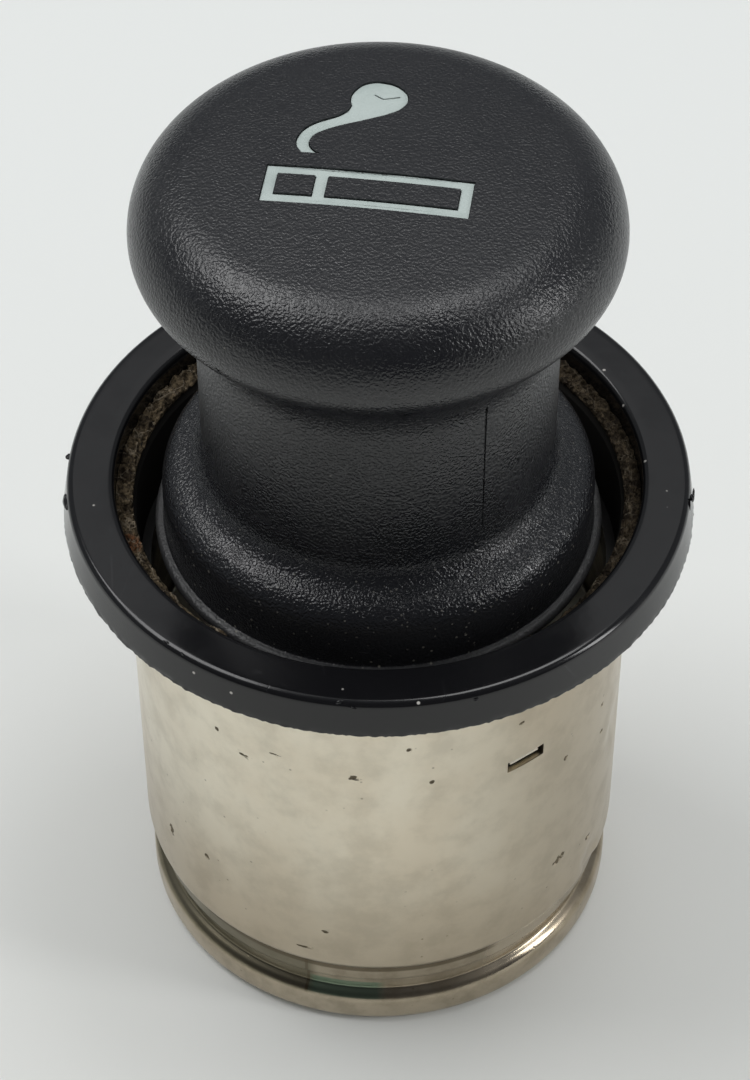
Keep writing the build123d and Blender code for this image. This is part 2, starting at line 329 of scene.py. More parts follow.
class SectionPen:
    """Draws a half section point by point, in millimetres, and spins it about the upright axis."""

    def __init__(self, name: str, radius: float, height: float) -> None:
        """Put the section's first point down.

        Args:
            name: The piece's name.
            radius: The point's distance from the axis.
            height: Its height.
        """
        clear_selection()
        bpy.ops.mesh.primitive_plane_add(size=MM, location=(0, 0, 0))
        self.piece = name_piece(bpy.context.object, name)
        self.spot = Vector((radius, 0, height))
        bpy.ops.object.mode_set(mode="EDIT")
        bpy.ops.mesh.select_all(action="SELECT")
        bpy.ops.mesh.merge(type="CENTER")
        bpy.ops.transform.translate(value=self.spot * MM)

    def line(self, radius: float, height: float, parts: int = 1) -> None:
        """Draw a straight stretch to a new point.

        Args:
            radius: The new point's distance from the axis.
            height: Its height.
            parts: Number of equal parts of the stretch.
        """
        target = Vector((radius, 0, height))
        step = (target - self.spot) * MM / parts
        for _ in range(parts):
            bpy.ops.mesh.extrude_vertices_move(TRANSFORM_OT_translate={"value": step})
        self.spot = target

    def arc(self, center: Flat, sweep: float, parts: int) -> None:
        """Draw an arc onwards from the last point.

        Args:
            center: Radius and height of the arc's middle.
            sweep: Degrees, anticlockwise as seen with the axis on the left.
            parts: Number of straight parts.
        """
        middle = Vector((center[0], 0, center[1]))
        bpy.ops.mesh.spin(steps=parts, angle=radians(sweep), center=middle * MM, axis=(0, 1, 0))
        arm = self.spot - middle
        turn = radians(sweep)
        swung = (arm.x * cos(turn) - arm.z * sin(turn), 0, arm.x * sin(turn) + arm.z * cos(turn))
        self.spot = middle + Vector(swung)

    def corner(self, point: Flat, toward: Flat, radius: float, parts: int) -> None:
        """Draw up to a corner, round it off and leave it towards the next point.

        Args:
            point: The corner.
            toward: The point that the section goes to next.
            radius: The rounding's radius.
            parts: Number of straight parts in the rounding.
        """
        corner = Vector((point[0], 0, point[1]))
        before = (self.spot - corner).normalized()
        after = (Vector((toward[0], 0, toward[1])) - corner).normalized()
        half = before.angle(after) / 2
        reach = radius / (sin(half) / cos(half))
        middle = corner + (before + after).normalized() * (radius / sin(half))
        start = corner + before * reach
        side = before.z * after.x - before.x * after.z
        sweep = degrees(pi - 2 * half)
        self.line(start.x, start.z)
        self.arc((middle.x, middle.z), sweep if side > 0 else -sweep, parts)

    def turn(self, steps: int) -> Piece:
        """Spin the section into a closed piece.

        Args:
            steps: Number of flats round the axis.

        Returns:
            The turned piece, with its faces looking outwards.
        """
        bpy.ops.mesh.select_all(action="SELECT")
        bpy.ops.mesh.spin(steps=steps, angle=TURN, center=(0, 0, 0), axis=(0, 0, 1))
        bpy.ops.mesh.select_all(action="SELECT")
        bpy.ops.mesh.remove_doubles(threshold=WELD)
        bpy.ops.mesh.normals_make_consistent(inside=False)
        bpy.ops.object.mode_set(mode="OBJECT")
        return self.piece


# Finishes


class NodeSheet:
    """A node tree that is being wired up."""

    def __init__(self, tree: bpy.types.NodeTree) -> None:
        """Start on an empty tree."""
        self.tree = tree

    def add(
        self, kind: str, inputs: dict[str | int, object] | None = None, **settings: object
    ) -> bpy.types.Node:
        """Add a node.

        Args:
            kind: The node's type.
            inputs: Values or sockets for its inputs.
            settings: Its properties.

        Returns:
            The node.
        """
        node = self.tree.nodes.new(kind)
        for key, value in settings.items():
            setattr(node, key, value)
        for key, value in (inputs or {}).items():
            if isinstance(value, bpy.types.NodeSocket):
                self.tree.links.new(value, node.inputs[key])
            else:
                node.inputs[key].default_value = value
        return node

    def place(self) -> Socket:
        """The place on the piece, in metres."""
        return self.add("ShaderNodeTexCoord").outputs["Object"]

    def split(self, vector: Socket) -> bpy.types.NodeOutputs:
        """The parts X, Y and Z of a vector."""
        return self.add("ShaderNodeSeparateXYZ", {0: vector}).outputs

    def vector(self, operation: str, first: object, second: object) -> Socket:
        """Add a sum of two vectors and return its result."""
        return self.add("ShaderNodeVectorMath", {0: first, 1: second}, operation=operation).outputs[0]

    def length(self, vector: Socket) -> Socket:
        """The length of a vector."""
        return self.add("ShaderNodeVectorMath", {0: vector}, operation="LENGTH").outputs["Value"]

    def math(self, operation: str, first: object, second: object, clamp: bool = False) -> Socket:
        """Add a sum and return its result."""
        node = self.add("ShaderNodeMath", {0: first, 1: second}, operation=operation, use_clamp=clamp)
        return node.outputs[0]

    def times(self, first: object, *others: object) -> Socket:
        """Multiply values or masks, from the first to the last.

        Args:
            first: The first socket.
            others: Sockets or plain values.

        Returns:
            The product.
        """
        result = first
        for other in others:
            result = self.math("MULTIPLY", result, other)
        return result

    def less(self, first: object, second: object, clamp: bool = False) -> Socket:
        """Take the second value from the first."""
        return self.math("SUBTRACT", first, second, clamp)

    def most(self, *masks: Socket) -> Socket:
        """Join masks by their largest value.

        Args:
            masks: The masks.

        Returns:
            A mask that shows where any of them does.
        """
        result = masks[0]
        for mask in masks[1:]:
            result = self.math("MAXIMUM", result, mask)
        return result

    def remap(
        self, value: object, low: object, high: object, start: object = 0.0, end: object = 1.0
    ) -> Socket:
        """Bring a value from one range to another, smoothly and held at both ends."""
        inputs = {"Value": value, "From Min": low, "From Max": high, "To Min": start, "To Max": end}
        return self.add("ShaderNodeMapRange", inputs, interpolation_type="SMOOTHSTEP").outputs[0]

    def spread(self, mask: Socket, start: float, end: float) -> Socket:
        """Bring a mask into a range of its own."""
        return self.remap(mask, 0.0, 1.0, start, end)

    def blend(self, share: Socket, first: Socket | Colour, second: Socket | Colour) -> Socket:
        """Blend two colours.

        Args:
            share: Mask of the second colour.
            first: The first colour, as a socket or a plain colour.
            second: The second colour, likewise.

        Returns:
            The blended colour.
        """
        node = self.add("ShaderNodeMix", data_type="RGBA")
        for socket, value in ((0, share), (6, first), (7, second)):
            if isinstance(value, bpy.types.NodeSocket):
                self.tree.links.new(value, node.inputs[socket])
            else:
                node.inputs[socket].default_value = (*value, 1.0)
        return node.outputs[2]

    def cover(self, base: Socket, layers: list[tuple[Socket, Colour]]) -> Socket:
        """Lay colours over a base one after the other.

        Args:
            base: The colour below.
            layers: Each layer's mask and colour, from the lowest to the top.

        Returns:
            The colour that shows.
        """
        for mask, colour in layers:
            base = self.blend(mask, base, colour)
        return base


class Effect(str, Enum):
    """Shared effects, each a node group with named inputs that puts out one varying value."""

    GRAIN = "moulded grain"
    BLOTCH = "soft blotches"
    SPECKS = "stray specks"
    SCRATCHES = "fine scratches"
    SPOT = "single spot"
    BAND = "height band"
    BORE = "inside of a bore"
    SECTOR = "sector of a turned piece"


class EffectSheet(NodeSheet):
    """The node group of a shared effect."""

    def __init__(self, effect: Effect, output: str, **inputs: float | Triple) -> None:
        """Start the group.

        Args:
            effect: The effect, whose value names the group.
            output: The name of the one output.
            inputs: The first value of each input.
        """
        tree = bpy.data.node_groups.new(effect.value, "ShaderNodeTree")
        for name, value in inputs.items():
            kind = "NodeSocketFloat" if isinstance(value, float) else "NodeSocketVector"
            tree.interface.new_socket(name, in_out="INPUT", socket_type=kind).default_value = value
        tree.interface.new_socket(output, in_out="OUTPUT", socket_type="NodeSocketFloat")
        super().__init__(tree)
        self.given = self.add("NodeGroupInput").outputs
        self.result = self.add("NodeGroupOutput").inputs[0]

    def put_out(self, value: Socket) -> None:
        """Put a value out of the group."""
        self.tree.links.new(value, self.result)

    def window(self, value: Socket, low: str, high: str) -> Socket:
        """Mask where a value lies between two of the group's inputs, with the input Soft as its edge.

        Args:
            value: The value.
            low: Name of the input where the mask is full.
            high: Name of the input where it ends.

        Returns:
            A mask from 0 to 1.
        """
        start, end, soft = self.given[low], self.given[high], self.given["Soft"]
        rise = self.remap(value, self.less(start, soft), start)
        fall = self.remap(value, self.math("ADD", end, soft), end)
        return self.times(rise, fall)


def build_grain() -> None:
    """Fine grain of a spark-eroded mould: a height from 0 to 1."""
    group = EffectSheet(Effect.GRAIN, "Height", Cells=6000.0, Low=0.28, High=0.72)
    inputs = {"Vector": group.place(), "Scale": group.given["Cells"], "Detail": 1.0}
    noise = group.add("ShaderNodeTexNoise", inputs)
    group.put_out(group.remap(noise.outputs[0], group.given["Low"], group.given["High"]))


def build_blotch() -> None:
    """Soft uneven patches: a mask from 0 to 1."""
    group = EffectSheet(Effect.BLOTCH, "Mask", Scale=300.0, Stretch=(1.0, 1.0, 1.0), Low=0.4, High=0.65)
    mapped = group.vector("MULTIPLY", group.place(), group.given["Stretch"])
    inputs = {"Vector": mapped, "Scale": group.given["Scale"], "Detail": 5.0, "Roughness": 0.6}
    noise = group.add("ShaderNodeTexNoise", inputs)
    group.put_out(group.remap(noise.outputs[0], group.given["Low"], group.given["High"]))


def build_specks() -> None:
    """Stray specks of dust: a mask that is 1 on a share of scattered dots."""
    group = EffectSheet(Effect.SPECKS, "Mask", Cells=1500.0, Share=0.05, Reach=0.2, Core=0.4)
    cells = group.add("ShaderNodeTexVoronoi", {"Vector": group.place(), "Scale": group.given["Cells"]})
    draw = group.add("ShaderNodeSeparateColor", {"Color": cells.outputs["Color"]}).outputs[0]
    chosen = group.math("LESS_THAN", draw, group.given["Share"])
    reach = group.given["Reach"]
    near = group.remap(cells.outputs["Distance"], reach, group.times(reach, group.given["Core"]))
    group.put_out(group.times(chosen, near))


def build_scratches() -> None:
    """Fine scratches that come and go: a mask of thin lines."""
    group = EffectSheet(
        Effect.SCRATCHES, "Mask", Scale=400.0, Stretch=(1.0, 1.0, 0.1), Thin=0.03, Share=0.5, Fade=0.08
    )
    place, scale, share = group.place(), group.given["Scale"], group.given["Share"]
    mapped = group.vector("MULTIPLY", place, group.given["Stretch"])
    lines = group.add(
        "ShaderNodeTexVoronoi", {"Vector": mapped, "Scale": scale}, feature="DISTANCE_TO_EDGE"
    )
    thin = group.remap(lines.outputs["Distance"], group.given["Thin"], 0.0)
    noise = group.add("ShaderNodeTexNoise", {"Vector": place, "Scale": scale, "Detail": 1.0})
    kept = group.remap(noise.outputs[0], share, group.math("ADD", share, group.given["Fade"]))
    group.put_out(group.times(thin, kept))


def build_spot() -> None:
    """One ragged spot at a place: a mask that is 1 in its middle."""
    shape = {"Radius": 0.0003, "Rag": 0.0, "Stretch": (1.0, 1.0, 1.0), "Core": 0.6}
    group = EffectSheet(Effect.SPOT, "Mask", Place=(0.0, 0.0, 0.0), **shape)
    offset = group.vector("SUBTRACT", group.place(), group.given["Place"])
    far = group.length(group.vector("MULTIPLY", offset, group.given["Stretch"]))
    ratio = group.math("ADD", group.math("DIVIDE", far, group.given["Radius"]), group.given["Rag"])
    group.put_out(group.remap(ratio, 1.0, group.given["Core"]))


def build_band() -> None:
    """A level band: a mask that is 1 between two heights and fades over a soft edge."""
    group = EffectSheet(Effect.BAND, "Mask", Low=0.0, High=0.01, Soft=0.0002)
    group.put_out(group.window(group.split(group.place())["Z"], "Low", "High"))


def build_bore() -> None:
    """The inside of a turned piece: a mask that is 1 within a radius and above a height."""
    group = EffectSheet(Effect.BORE, "Mask", Radius=0.01, Low=0.0, Soft=0.0004)
    place, low = group.place(), group.given["Low"]
    radius = group.length(group.vector("MULTIPLY", place, (1, 1, 0)))
    inside = group.math("LESS_THAN", radius, group.given["Radius"])
    above = group.remap(group.split(place)["Z"], low, group.math("ADD", low, group.given["Soft"]))
    group.put_out(group.times(inside, above))


def build_sector() -> None:
    """A sector of a turned piece: a mask that is 1 between two angles from the front to the right."""
    group = EffectSheet(Effect.SECTOR, "Mask", From=-1.0, To=1.0, Soft=0.05)
    place = group.split(group.place())
    angle = group.math("ARCTAN2", place["X"], group.times(place["Y"], -1.0))
    group.put_out(group.window(angle, "From", "To"))


def build_effects() -> None:
    """Build every shared effect once."""
    surface = (build_grain, build_blotch, build_specks, build_scratches)
    places = (build_spot, build_band, build_bore, build_sector)
    for build in (*surface, *places):
        build()


@dataclass(frozen=True)
class Blotches:
    """Soft patches: how fine they are, the noise at which they start and fill in, and their stretch."""

    scale: float
    low: float
    high: float
    stretch: Triple = (1.0, 1.0, 1.0)


@dataclass(frozen=True)
class Specks:
    """Scattered dots: cells to the metre, the share of cells with a dot, and its reach in the cell."""

    cells: float
    share: float
    reach: float


@dataclass(frozen=True)
class Scratches:
    """Fine lines: how close they lie, their stretch, their width and how much of them is left out."""

    scale: float
    stretch: Triple
    thin: float
    share: float


class MaterialSheet(NodeSheet):
    """A material's node tree, with its Principled shader at hand."""

    def __init__(self, name: str, **constants: object) -> None:
        """Make a material.

        Args:
            name: The material's name.
            constants: Values of the shader's own sockets, with underscores for spaces.
        """
        self.material = bpy.data.materials.new(name)
        self.material.use_nodes = True
        super().__init__(self.material.node_tree)
        self.shader = self.tree.nodes["Principled BSDF"]
        for key, value in constants.items():
            self.shader.inputs[key.replace("_", " ")].default_value = value

    def effect(self, effect: Effect, **inputs: object) -> Socket:
        """Place a shared effect and return what it puts out."""
        group = bpy.data.node_groups[effect.value]
        return self.add("ShaderNodeGroup", inputs, node_tree=group).outputs[0]

    def grain(self, cells: float) -> Socket:
        """Place a fine grain."""
        return self.effect(Effect.GRAIN, Cells=cells)

    def blotches(self, look: Blotches) -> Socket:
        """Place soft patches."""
        inputs = {"Scale": look.scale, "Stretch": look.stretch, "Low": look.low, "High": look.high}
        return self.effect(Effect.BLOTCH, **inputs)

    def specks(self, look: Specks) -> Socket:
        """Place scattered specks."""
        return self.effect(Effect.SPECKS, Cells=look.cells, Share=look.share, Reach=look.reach)

    def scratches(self, look: Scratches) -> Socket:
        """Place fine scratches."""
        inputs = {"Scale": look.scale, "Stretch": look.stretch, "Thin": look.thin, "Share": look.share}
        return self.effect(Effect.SCRATCHES, **inputs)

    def band(self, low: float, high: float, soft: float) -> Socket:
        """Mask a band between two heights, with a soft edge, all in millimetres."""
        return self.effect(Effect.BAND, Low=low * MM, High=high * MM, Soft=soft * MM)

    def sector(self, span: Flat, soft: float) -> Socket:
        """Mask a sector between two angles, with a soft edge, all in degrees."""
        return self.effect(Effect.SECTOR, From=radians(span[0]), To=radians(span[1]), Soft=radians(soft))

    def feed(self, socket: str, source: Socket) -> None:
        """Feed one of the shader's sockets."""
        self.tree.links.new(source, self.shader.inputs[socket])

    def relief(self, height: Socket, depth: float) -> None:
        """Bump the surface by a height from 0 to 1, where 1 stands for a depth in millimetres."""
        inputs = {"Height": height, "Distance": depth * MM, "Strength": 1.0}
        self.feed("Normal", self.add("ShaderNodeBump", inputs).outputs[0])


@dataclass(frozen=True)
class GrainedPlastic:
    """Black moulding with a fine grain, rubbed a little, with a grey dust layer on the lip's left and
    right that also paints light there, and a dusty skirt.
    """

    name: str
    lip_low: float
    lip_high: float
    skirt_high: float
    flare_high: float
    colour: Colour = (0.0085, 0.009, 0.0112)
    dust: Colour = (0.2, 0.19, 0.165)
    # A grey dust layer on the lip, laid left and right only: it also paints light there and shade at the
    # front.
    film_and_light: Colour = (0.05, 0.05, 0.051)
    lit_film_sectors: tuple[Flat, ...] = ((-150.0, -32.0), (32.0, 150.0))
    lit_film_fade: float = 14.0
    lip_film_and_light: Flat = (0.9, 0.6)
    skirt_film: float = 0.2
    skirt_fade: float = 0.8
    lip_fade: float = 0.05
    rubbing: Blotches = Blotches(260.0, 0.35, 0.75)
    skirt_dust: Specks = Specks(3000.0, 0.2, 0.22)
    stray_dust: Specks = Specks(1100.0, 0.03, 0.07)
    flare_dust: Specks = Specks(4600.0, 0.15, 0.25)
    faint_dust: float = 0.6
    dust_cover: float = 0.8
    specular: float = 0.62
    roughness: float = 0.27
    rubbed_gloss: float = 0.05
    flare_gloss: float = 0.08
    lip_dulling: float = 0.3
    grain_cells: float = 8600.0
    grain_depth: float = 0.016
    flare_grain: float = 0.5

    def material(self) -> bpy.types.Material:
        """Wire the finish up.

        Returns:
            The material.
        """
        sheet = MaterialSheet(self.name, Specular_IOR_Level=self.specular)
        rubbed = sheet.blotches(self.rubbing)
        skirt = sheet.band(self.lip_high, self.skirt_high, self.skirt_fade)
        flare = sheet.band(self.lip_high, self.flare_high, self.skirt_fade)
        lip = sheet.band(self.lip_low, self.lip_high, self.lip_fade)
        dusty = sheet.most(
            sheet.times(sheet.specks(self.skirt_dust), skirt),
            sheet.times(sheet.specks(self.stray_dust), self.faint_dust),
            sheet.times(sheet.specks(self.flare_dust), flare, self.faint_dust),
        )
        # The lip's grey layer goes left and right only, as dust and as painted light there, with painted
        # shade at the front.
        lit_sides = sheet.most(*(sheet.sector(span, self.lit_film_fade) for span in self.lit_film_sectors))
        lit_lip_film = sheet.times(lip, lit_sides, sheet.spread(rubbed, *self.lip_film_and_light))
        film_and_light = sheet.most(lit_lip_film, sheet.times(skirt, self.skirt_film))
        base = sheet.blend(film_and_light, self.colour, self.film_and_light)
        sheet.feed("Base Color", sheet.blend(sheet.times(dusty, self.dust_cover), base, self.dust))
        duller, glossier = self.roughness + self.rubbed_gloss, self.roughness - self.rubbed_gloss
        gloss = sheet.spread(rubbed, duller, glossier)
        shiny = sheet.less(gloss, sheet.times(flare, self.flare_gloss))
        sheet.feed("Roughness", sheet.math("ADD", shiny, sheet.times(lip, self.lip_dulling)))
        coarse = sheet.math("ADD", 1.0, sheet.times(sheet.less(flare, lip), self.flare_grain))
        sheet.relief(sheet.times(sheet.grain(self.grain_cells), coarse), self.grain_depth)
        return sheet.material


@dataclass(frozen=True)
class SmoothPlastic:
    """Black moulding with a half gloss, handling scuffs and stray white specks."""

    name: str
    colour: Colour = (0.006, 0.006, 0.007)
    scuff: Colour = (0.03, 0.03, 0.032)
    dust: Colour = (0.5, 0.48, 0.45)
    waves: Blotches = Blotches(420.0, 0.4, 0.7)
    scuffs: Scratches = Scratches(520.0, (1.0, 0.35, 1.6), 0.012, 0.62)
    specks: Specks = Specks(1400.0, 0.16, 0.12)
    scuff_share: float = 0.4
    specular: float = 0.5
    roughness: float = 0.15
    wave_dulling: float = 0.07
    speck_roughness: float = 0.7
    wave_height: float = 0.4
    scuff_depth: float = 0.25
    depth: float = 0.005

    def material(self) -> bpy.types.Material:
        """Wire the finish up.

        Returns:
            The material.
        """
        sheet = MaterialSheet(self.name, Specular_IOR_Level=self.specular)
        uneven = sheet.blotches(self.waves)
        scratches = sheet.scratches(self.scuffs)
        specks = sheet.specks(self.specks)
        base = sheet.blend(sheet.times(scratches, self.scuff_share), self.colour, self.scuff)
        sheet.feed("Base Color", sheet.blend(specks, base, self.dust))
        gloss = sheet.spread(uneven, self.roughness, self.roughness + self.wave_dulling)
        sheet.feed("Roughness", sheet.most(gloss, sheet.times(specks, self.speck_roughness)))
        waves = sheet.times(uneven, self.wave_height)
        sheet.relief(sheet.less(waves, sheet.times(scratches, self.scuff_depth)), self.depth)
        return sheet.material


@dataclass(frozen=True)
class WornPlate:
    """Nickel plate that has yellowed, with pits, brown spots and dirt on the rim, and painted shade in
    the bore, groove and lower right, painted reflections and a painted highlight in the groove.
    """

    name: str
    spots: tuple[Mark, ...]
    rim_low: float
    groove_low: float
    groove_high: float
    bore: float
    bore_low: float
    plate: Colour = (0.79, 0.735, 0.61)
    warm: Colour = (0.72, 0.645, 0.515)
    # This colour serves the pits and spots, and also paints shade in the groove and under the shoulder.
    stain_and_shade: Colour = (0.1, 0.075, 0.04)
    # Dark colour of the dirt on the raw rim, and of the painted shade on the bore's wall.
    grime_and_shade: Colour = (0.01, 0.008, 0.006)
    patches: Blotches = Blotches(150.0, 0.36, 0.68, (1.0, 1.0, 0.8))
    mottling: Blotches = Blotches(620.0, 0.38, 0.72)
    mottle_share: float = 0.17
    foot_share: float = 0.16
    foot_fade: float = 0.3
    # Painted shade in the groove, mottled, with less of it in the lamp-lit sector.
    groove_shade_share: Flat = (0.25, 0.42)
    groove_fade: float = 0.2
    edge_fade: float = 0.1
    # Painted shade: the plate turns brown and darker towards the bottom and on the right side.
    brown: Colour = (0.44, 0.365, 0.265)
    brown_sector: Flat = (55.0, 150.0)
    brown_fade: float = 60.0
    brown_share: float = 0.7
    lower_share: float = 0.75
    lower_fade: float = 11.0
    # Painted reflections in the groove: olive on the front left and green near the front.
    olive: Colour = (0.14, 0.13, 0.085)
    olive_sector: Flat = (-88.0, -18.0)
    olive_share: float = 0.7
    green: Colour = (0.12, 0.24, 0.165)
    green_sector: Flat = (-16.0, -1.0)
    green_height: float = 0.6
    green_share: float = 0.65
    reflection_fade: float = 3.0
    # Painted highlight: a sector of the groove kept lighter, and glossier, where the side lamp reflects.
    lamp_lit_sector: Flat = (34.0, 48.0)
    lamp_lit_fade: float = 8.0
    lamp_lit_share: float = 0.5
    lamp_lit_gloss: float = 0.12
    # Painted shade in a band under the sleeve's shoulder.
    corner_shade: Flat = (3.44, 3.76)
    corner_share: float = 0.75
    # A thin dark upright line painted in the groove where the painted reflections end.
    reflection_edge: float = -18.3
    reflection_edge_width: float = 0.5
    reflection_edge_fade: float = 0.3
    reflection_edge_share: float = 0.6
    pitting: Specks = Specks(1300.0, 0.05, 0.13)
    fine_pitting: Specks = Specks(2800.0, 0.1, 0.2)
    pitted_zone: Blotches = Blotches(230.0, 0.44, 0.58)
    pit_share: float = 0.5
    spot_share: float = 0.9
    spot_crust: float = 0.7
    spot_rag: float = 4200.0
    roughness: float = 0.3
    mottle_gloss: Flat = (-0.02, 0.03)
    spot_roughness: float = 0.75
    grime_and_shade_roughness: float = 0.9
    mottle_height: float = 0.06
    depth: float = 0.007

    def material(self) -> bpy.types.Material:
        """Wire the finish up.

        Returns:
            The material.
        """
        sheet = MaterialSheet(self.name)
        mottle = sheet.blotches(self.mottling)
        # Sector kept lighter as a painted highlight where the side lamp reflects.
        lamp_lit = sheet.sector(self.lamp_lit_sector, self.lamp_lit_fade)
        groove = sheet.band(self.groove_low, self.groove_high, self.groove_fade)
        fine_pits = sheet.times(sheet.specks(self.fine_pitting), sheet.blotches(self.pitted_zone))
        pits = sheet.most(sheet.specks(self.pitting), fine_pits)
        rag = sheet.less(sheet.grain(self.spot_rag), 0.5)
        spots = sheet.most(*(self.spot(sheet, mark, rag) for mark in self.spots))
        # The bore's wall is painted dark and not metallic as shade; the raw rim gets dirt.
        bore = sheet.effect(Effect.BORE, Radius=self.bore * MM, Low=self.bore_low * MM)
        grime_and_shade_mask = sheet.most(sheet.band(self.rim_low, FAR, self.edge_fade), bore)
        base = sheet.blend(sheet.blotches(self.patches), self.plate, self.warm)
        layers = [
            *self.tints_shade_and_reflections(sheet, mottle, lamp_lit, groove),
            (sheet.times(pits, self.pit_share), self.stain_and_shade),
            (sheet.times(spots, self.spot_share), self.stain_and_shade),
            (grime_and_shade_mask, self.grime_and_shade),
        ]
        sheet.feed("Base Color", sheet.cover(base, layers))
        metal = sheet.less(1.0, sheet.times(spots, self.spot_crust))
        sheet.feed("Metallic", sheet.less(metal, grime_and_shade_mask, clamp=True))
        glossier, duller = self.mottle_gloss
        matt = sheet.spread(mottle, self.roughness + glossier, self.roughness + duller)
        rough = sheet.most(
            sheet.times(spots, self.spot_roughness),
            sheet.times(grime_and_shade_mask, self.grime_and_shade_roughness),
            sheet.less(matt, sheet.times(lamp_lit, groove, self.lamp_lit_gloss)),
        )
        sheet.feed("Roughness", rough)
        sheet.relief(sheet.less(sheet.times(mottle, self.mottle_height), pits), self.depth)
        return sheet.material

    def tints_shade_and_reflections(
        self, sheet: MaterialSheet, mottle: Socket, lamp_lit: Socket, groove: Socket
    ) -> list[tuple[Socket, Colour]]:
        """Mask the tints and mottling of the plate, and the painted shade and reflections on it.

        Args:
            sheet: The material's sheet.
            mottle: Mask of the fine mottling.
            lamp_lit: Mask of the sector where the side lamp reflects, kept lighter as a painted
                highlight.
            groove: Mask of the groove above the bead.

        Returns:
            Each mask with its colour, from the lowest layer to the top.
        """
        # Painted shade, brown, towards the bottom and on the right side.
        lower = sheet.times(sheet.band(0.0, self.groove_high, self.lower_fade), self.lower_share)
        side = sheet.times(sheet.sector(self.brown_sector, self.brown_fade), self.brown_share)
        foot = sheet.band(-FAR, self.groove_low, self.foot_fade)
        spread = sheet.spread(mottle, *self.groove_shade_share)
        # Painted shade in the groove, with less of it where the side lamp reflects.
        worn_and_shaded = sheet.less(spread, sheet.times(lamp_lit, self.lamp_lit_share), clamp=True)
        # Painted reflections in the groove, olive and green.
        olive = sheet.sector(self.olive_sector, self.reflection_fade)
        low_groove = sheet.band(self.groove_low, self.groove_low + self.green_height, self.edge_fade)
        green = sheet.times(low_groove, sheet.sector(self.green_sector, self.reflection_fade))
        # Painted shade under the shoulder, less of it in the lamp-lit sector.
        corner = sheet.band(*self.corner_shade, self.edge_fade)
        # A dark line painted where the painted reflections in the groove end.
        reflection_edge_span = (self.reflection_edge - self.reflection_edge_width / 2, self.reflection_edge + self.reflection_edge_width / 2)
        reflection_edge = sheet.sector(reflection_edge_span, self.reflection_edge_fade)
        return [
            (sheet.most(lower, side), self.brown),
            (sheet.times(mottle, self.mottle_share), self.stain_and_shade),
            (sheet.times(foot, sheet.spread(mottle, 0.0, self.foot_share)), self.stain_and_shade),
            (sheet.times(groove, worn_and_shaded), self.stain_and_shade),
            (sheet.times(olive, groove, self.olive_share), self.olive),
            (sheet.times(green, self.green_share), self.green),
            (sheet.times(corner, sheet.less(self.corner_share, lamp_lit, clamp=True)), self.stain_and_shade),
            (sheet.times(reflection_edge, groove, self.reflection_edge_share), self.stain_and_shade),
        ]

    @staticmethod
    def spot(sheet: MaterialSheet, mark: Mark, rag: Socket) -> Socket:
        """Place a brown spot where a mark is."""
        inputs = {"Place": mark.place, "Radius": mark.length * MM / 2, "Rag": rag}
        return sheet.effect(Effect.SPOT, **inputs, Stretch=(1.0, 1.0, mark.length / mark.width))


@dataclass(frozen=True)
class SheetMetal:
    """Drawn or turned metal of an inner piece, with uneven tint and fine tool lines, painted dark and
    dull above a height as dirt and painted shade.
    """

    name: str
    colour: Colour
    tint: Colour
    roughness: float = 0.35
    # Above this height the metal is painted dark and dull: dirt and painted shade.
    grime_and_shade_low: float = 100.0
    grime_and_shade_fade: float = 1.0
    grime_and_shade: Colour = (0.008, 0.007, 0.006)
    patches: Blotches = Blotches(420.0, 0.35, 0.7)
    tool_lines: Blotches = Blotches(600.0, 0.35, 0.7, (0.2, 0.2, 6.0))
    line_gloss: Flat = (-0.06, 0.12)
    depth: float = 0.004

    def material(self) -> bpy.types.Material:
        """Wire the finish up.

        Returns:
            The material.
        """
        sheet = MaterialSheet(self.name)
        lines = sheet.blotches(self.tool_lines)
        grime_and_shade_mask = sheet.band(self.grime_and_shade_low, FAR, self.grime_and_shade_fade)
        base = sheet.blend(sheet.blotches(self.patches), self.colour, self.tint)
        sheet.feed("Base Color", sheet.blend(grime_and_shade_mask, base, self.grime_and_shade))
        sheet.feed("Metallic", sheet.less(1.0, grime_and_shade_mask))
        glossier, duller = self.line_gloss
        sheet.feed("Roughness", sheet.spread(lines, self.roughness + glossier, self.roughness + duller))
        sheet.relief(lines, self.depth)
        return sheet.material


@dataclass(frozen=True)
class DullMineral:
    """Ceramic, mica or paint: a matt, grainy, slightly blotched surface."""

    name: str
    colour: Colour
    tint: Colour
    roughness: float = 0.7
    grain_cells: float = 3000.0
    grain_depth: float = 0.02
    grain_gloss: float = 0.1
    patches: Blotches = Blotches(700.0, 0.36, 0.68)

    def material(self) -> bpy.types.Material:
        """Wire the finish up.

        Returns:
            The material.
        """
        sheet = MaterialSheet(self.name)
        grain = sheet.grain(self.grain_cells)
        sheet.feed("Base Color", sheet.blend(sheet.blotches(self.patches), self.colour, self.tint))
        matt = sheet.spread(grain, self.roughness + self.grain_gloss, self.roughness - self.grain_gloss)
        sheet.feed("Roughness", matt)
        sheet.relief(grain, self.grain_depth)
        return sheet.material


